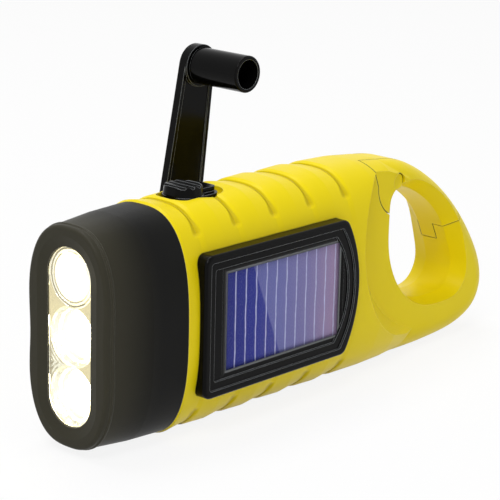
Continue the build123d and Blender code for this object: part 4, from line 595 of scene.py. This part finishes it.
class TorchView(bpy.types.PropertyGroup):
    """Camera of the studio."""

    azimuth: bpy.props.FloatProperty(
        name="Azimuth", description="Camera direction round the torch", default=math.radians(-47.88),
        subtype="ANGLE")
    elevation: bpy.props.FloatProperty(
        name="Elevation", description="Camera height above the torch", default=math.radians(15.61),
        subtype="ANGLE")
    roll: bpy.props.FloatProperty(
        name="Roll", description="Tilt of the camera about its view", default=math.radians(1.38),
        subtype="ANGLE")
    distance: bpy.props.FloatProperty(
        name="Distance", description="From the camera to the middle of the torch", default=0.47216,
        unit="LENGTH")
    aim_x: bpy.props.FloatProperty(
        name="Aim", description="Place along the torch that the camera looks past", default=0.069,
        unit="LENGTH")
    aside: bpy.props.FloatProperty(
        name="Aside", description="How far the torch sits right of the view's middle", default=0.01002,
        unit="LENGTH")
    above: bpy.props.FloatProperty(
        name="Above", description="How far the torch sits above the view's middle", default=-0.00521,
        unit="LENGTH")
    lens: bpy.props.FloatProperty(
        name="Lens", description="Focal length on a 36 mm sensor", default=149.9, unit="CAMERA")


# ------------------------------------------------------------------ operators
def add_to_scene(name, data, place, turn):
    """Put a camera or a lamp at its place, turned by a matrix."""
    holder = bpy.data.objects.new(name, data)
    bpy.context.scene.collection.objects.link(holder)
    holder.matrix_world = Matrix.Translation(place) @ turn.to_4x4()
    return holder


def photo_camera(view):
    """Camera that looks at the torch from the front left, turned, rolled and set aside as view says."""
    a, e, r = view.azimuth, view.elevation, view.roll
    right = Vector((math.cos(a), math.sin(a), 0))
    up = Vector((-math.sin(e) * math.sin(a), math.sin(e) * math.cos(a), math.cos(e)))
    back = right.cross(up)
    rolled_right = math.cos(r) * right + math.sin(r) * up
    rolled_up = -math.sin(r) * right + math.cos(r) * up
    place = Vector((view.aim_x, 0, 0)) + back * view.distance
    place -= rolled_right * view.aside + rolled_up * view.above
    camera = bpy.data.cameras.new("camera")
    camera.lens = view.lens
    camera.sensor_width = SENSOR_WIDTH
    camera.clip_start = NEAREST_SEEN
    return add_to_scene("camera", camera, place, Matrix((rolled_right, rolled_up, back)).transposed())


def soft_lamp(name, place, size, power):
    """Area lamp that points at the torch."""
    lamp = bpy.data.lights.new(name, "AREA")
    lamp.shape = "RECTANGLE"
    lamp.size, lamp.size_y = size
    lamp.energy = power
    direction = Vector(LAMP_AIM) - Vector(place)
    add_to_scene(name, lamp, Vector(place), direction.to_track_quat("-Z", "Y").to_matrix())


def studio_world():
    """World that lights the torch softly and shows white behind it."""
    world = bpy.data.worlds.new("studio")
    world.use_nodes = True
    tree = world.node_tree
    tree.nodes.clear()
    light = node(tree, "ShaderNodeBackground", {"Color": linear("#ffffff"), "Strength": WORLD_LIGHT})
    white = node(tree, "ShaderNodeBackground", {"Color": linear("#ffffff"), "Strength": 1.0})
    mixed = node(tree, "ShaderNodeMixShader", {0: background_rays(tree), 1: light, 2: white})
    node(tree, "ShaderNodeOutputWorld", {"Surface": mixed})
    return world


class TORCH_OT_stage(bpy.types.Operator):
    """Camera, floor, backdrop and soft studio light"""

    bl_idname = "torch.stage"
    bl_label = "Studio stage"

    def execute(self, context):
        context.scene.camera = photo_camera(context.scene.torch_view)
        bpy.ops.object.select_all(action="DESELECT")
        bpy.ops.mesh.primitive_plane_add(size=FLOOR_SIZE, location=(0, 0, CAD_BOX[0][2]))
        floor = context.active_object
        floor.name = "floor"
        floor.data.materials.append(studio_white())
        for name, place, size, power in STUDIO_LAMPS:
            soft_lamp(name, place, size, power)
        context.scene.world = studio_world()
        context.scene.view_settings.view_transform = "Standard"
        return {"FINISHED"}


class TORCH_OT_finishes(bpy.types.Operator):
    """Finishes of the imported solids"""

    bl_idname = "torch.finishes"
    bl_label = "Finishes"

    def execute(self, context):
        colours = context.scene.torch_colours
        # the edge highlight tones given below are painted highlights along sharp edges
        yellow = moulding(
            # the groove shade tone is painted shade in the grip's grooves
            "abs_yellow_moulded", colours.shell, colours.shell_shade, 0.38, 0.6, 0.015, 0.12,
            # the seam shade tone is painted shade in the seams between mouldings
            edge_highlight="#f4e668", groove_shade="#a88c06", seam_shade="#2c2402")
        satin = moulding(
            # rim is a painted light band across the head's front
            "abs_black_satin", colours.head, "#121211", 0.42, 0.5, 0.02, 0.08, edge_highlight="#8c897c", rim="#37352b")
        gloss = moulding(
            "abs_black_polished", colours.gloss, "#080808", 0.12, 2.5, 0.008, 0.07, edge_highlight="#85888a")
        inner = moulding("abs_dark_inner", "#242424", "#1e1e1e", 0.5, 0.5, 0.02)
        board = moulding("fr4_board", "#1d5f3c", "#1a5436", 0.35, 0.8, 0.01)
        zinc = metal("steel_zinc_plated", "#b9bbbd", 0.3, 0.4)
        paint(("body_housing", "side_cover", "hook_gate", "gate_pin"), yellow)
        paint(("head_bezel",), satin)
        paint(("solar_frame", "switch_cap", "switch_lever"), gloss)
        paint(("crank_hub", "crank_arm", "crank_knob", "knob_pin"), gloss)
        paint(("switch_body", "battery_clips", "gearbox_plate"), inner)
        paint(("led_board", "main_board"), board)
        paint(("cover_screws", "plate_screws", "gear_screw", "hinge_pin", "idler_axle"), zinc)
        paint(("rotor_shaft", "generator_can", "gate_spring", "usb_socket"), zinc)
        paint(("lens_window",), clear_polycarbonate())
        paint(("solar_window",), clear_resin())
        paint(("solar_cell",), amorphous_cell())
        paint(("head_gasket", "usb_cover"), rubber())
        paint(("hub_bushing",), metal("brass_turned", "#c9a65a", 0.28, 0.3))
        paint(("generator_coil",), metal("copper_enamelled", "#b4622c", 0.3, 0.3))
        paint(("idler_gear", "crank_gear"), moulding("nylon_natural", "#e9e6dc", "#e0dccf", 0.45, 0.5, 0.01))
        paint(("rotor_magnet",), moulding("ferrite_sintered", "#3a3a3c", "#323234", 0.6, 0.3, 0.02))
        paint(("battery",), moulding("pvc_shrink_wrap", "#3f7f4d", "#397546", 0.3, 3.0, 0.01))
        paint(("wires",), moulding("pvc_insulation", "#b32a20", "#a4241b", 0.4, 1.0, 0.005))
        return {"FINISHED"}


def reflector_block():
    """Block with round ends, as long as the row of lamps."""
    block = begin(
        bpy.ops.mesh.primitive_circle_add, "lamp_reflector", vertices=64, radius=REFLECTOR_HALF_WIDTH,
        fill_type="NGON", location=(WINDOW_BACK, 0, 0), rotation=FACING_FRONT)
    for side in (-1, 1):
        pick(block, "VERT", lambda place: place.z * side > TOUCH)
        bpy.ops.transform.translate(value=(0, 0, side * LAMP_PITCH))
    pick(block, "FACE", lambda place: True)
    draw_out(BOWL_REAR - WINDOW_BACK)
    close()
    return block


def bowl_cutter(throat, rim):
    """Paraboloid that opens from throat to rim."""
    radii = [math.sqrt(rim**2 + (throat**2 - rim**2) * i / BOWL_RINGS) for i in range(BOWL_RINGS + 1)]
    bowl = begin(
        bpy.ops.mesh.primitive_circle_add, "bowl", vertices=64, radius=rim, fill_type="NGON",
        location=(WINDOW_BACK - OVERCUT, 0, 0), rotation=FACING_FRONT)
    pick(bowl, "FACE", lambda place: True)
    draw_out(OVERCUT)
    for before, after in zip(radii, radii[1:]):
        draw_out((BOWL_REAR - WINDOW_BACK) / BOWL_RINGS, after / before)
    draw_out(OVERCUT)
    close()
    return bowl


class TORCH_OT_reflector(bpy.types.Operator):
    """Metallised reflector with a bowl for each lamp"""

    bl_idname = "torch.reflector"
    bl_label = "Reflector"

    def execute(self, context):
        lamps = context.scene.torch_lamps
        block = reflector_block()
        bowl = bowl_cutter(lamps.throat, lamps.rim)
        for height in (-LAMP_PITCH, 0, LAMP_PITCH):
            cut_away(block, copy_at_height(bowl, height))
        only(bowl)
        bpy.ops.object.delete()
        only(block)
        bpy.ops.object.shade_smooth_by_angle(angle=BOWL_SMOOTH_ANGLE)
        finish_piece(block, ROOT_BODY, chrome_with_painted_glow(), "reflector_chrome", "reflector")
        return {"FINISHED"}


class TORCH_OT_leds(bpy.types.Operator):
    """Epoxy domes of the lamps, each on its collar"""

    bl_idname = "torch.leds"
    bl_label = "LEDs"

    def execute(self, context):
        lamps = context.scene.torch_lamps
        centre = BOWL_REAR - lamps.dome
        lamp = begin(
            bpy.ops.mesh.primitive_uv_sphere_add, "lamp_leds", segments=32, ring_count=16,
            radius=lamps.dome, location=(centre, 0, 0), rotation=FACING_FRONT)
        pick(lamp, "FACE", lambda place: place.x > centre)
        bpy.ops.mesh.delete(type="FACE")
        bpy.ops.mesh.select_mode(type="EDGE")
        bpy.ops.mesh.select_non_manifold()
        draw_out(BOWL_REAR - centre)
        draw_out(0, lamps.collar / lamps.dome)
        draw_out(COLLAR_LENGTH)
        bpy.ops.mesh.edge_face_add()
        pick(lamp, "EDGE", lambda place: (
            abs(place.x - BOWL_REAR) < TOUCH and place.yz.length > 0.95 * lamps.collar))
        bpy.ops.mesh.bevel(offset=COLLAR_BEVEL, segments=3, affect="EDGES")
        close()
        join(lamp, [copy_at_height(lamp, height) for height in (-LAMP_PITCH, LAMP_PITCH)])
        finish_piece(lamp, ROOT_BODY, lit_led(), "led_body", "leds")
        return {"FINISHED"}


class TORCH_PT_panel(bpy.types.Panel):
    """Lists the torch's pieces in the sidebar"""

    bl_label = "Hand crank torch"
    bl_idname = "TORCH_PT_panel"
    bl_space_type = "VIEW_3D"
    bl_region_type = "UI"
    bl_category = "Torch"

    def draw(self, context):
        for step in STEPS:
            self.layout.operator(step.bl_idname)


STEPS = (TORCH_OT_stage, TORCH_OT_finishes, TORCH_OT_reflector, TORCH_OT_leds)
CLASSES = (TorchColours, TorchLamps, TorchView, *STEPS, TORCH_PT_panel)


def register():
    for cls in CLASSES:
        bpy.utils.register_class(cls)
    bpy.types.Scene.torch_colours = bpy.props.PointerProperty(type=TorchColours)
    bpy.types.Scene.torch_lamps = bpy.props.PointerProperty(type=TorchLamps)
    bpy.types.Scene.torch_view = bpy.props.PointerProperty(type=TorchView)


def unregister():
    del bpy.types.Scene.torch_view
    del bpy.types.Scene.torch_lamps
    del bpy.types.Scene.torch_colours
    for cls in reversed(CLASSES):
        bpy.utils.unregister_class(cls)


def main():
    register()
    bpy.ops.torch.stage()
    bpy.ops.torch.finishes()
    bpy.ops.torch.reflector()
    bpy.ops.torch.leds()


if __name__ == "__main__":
    main()
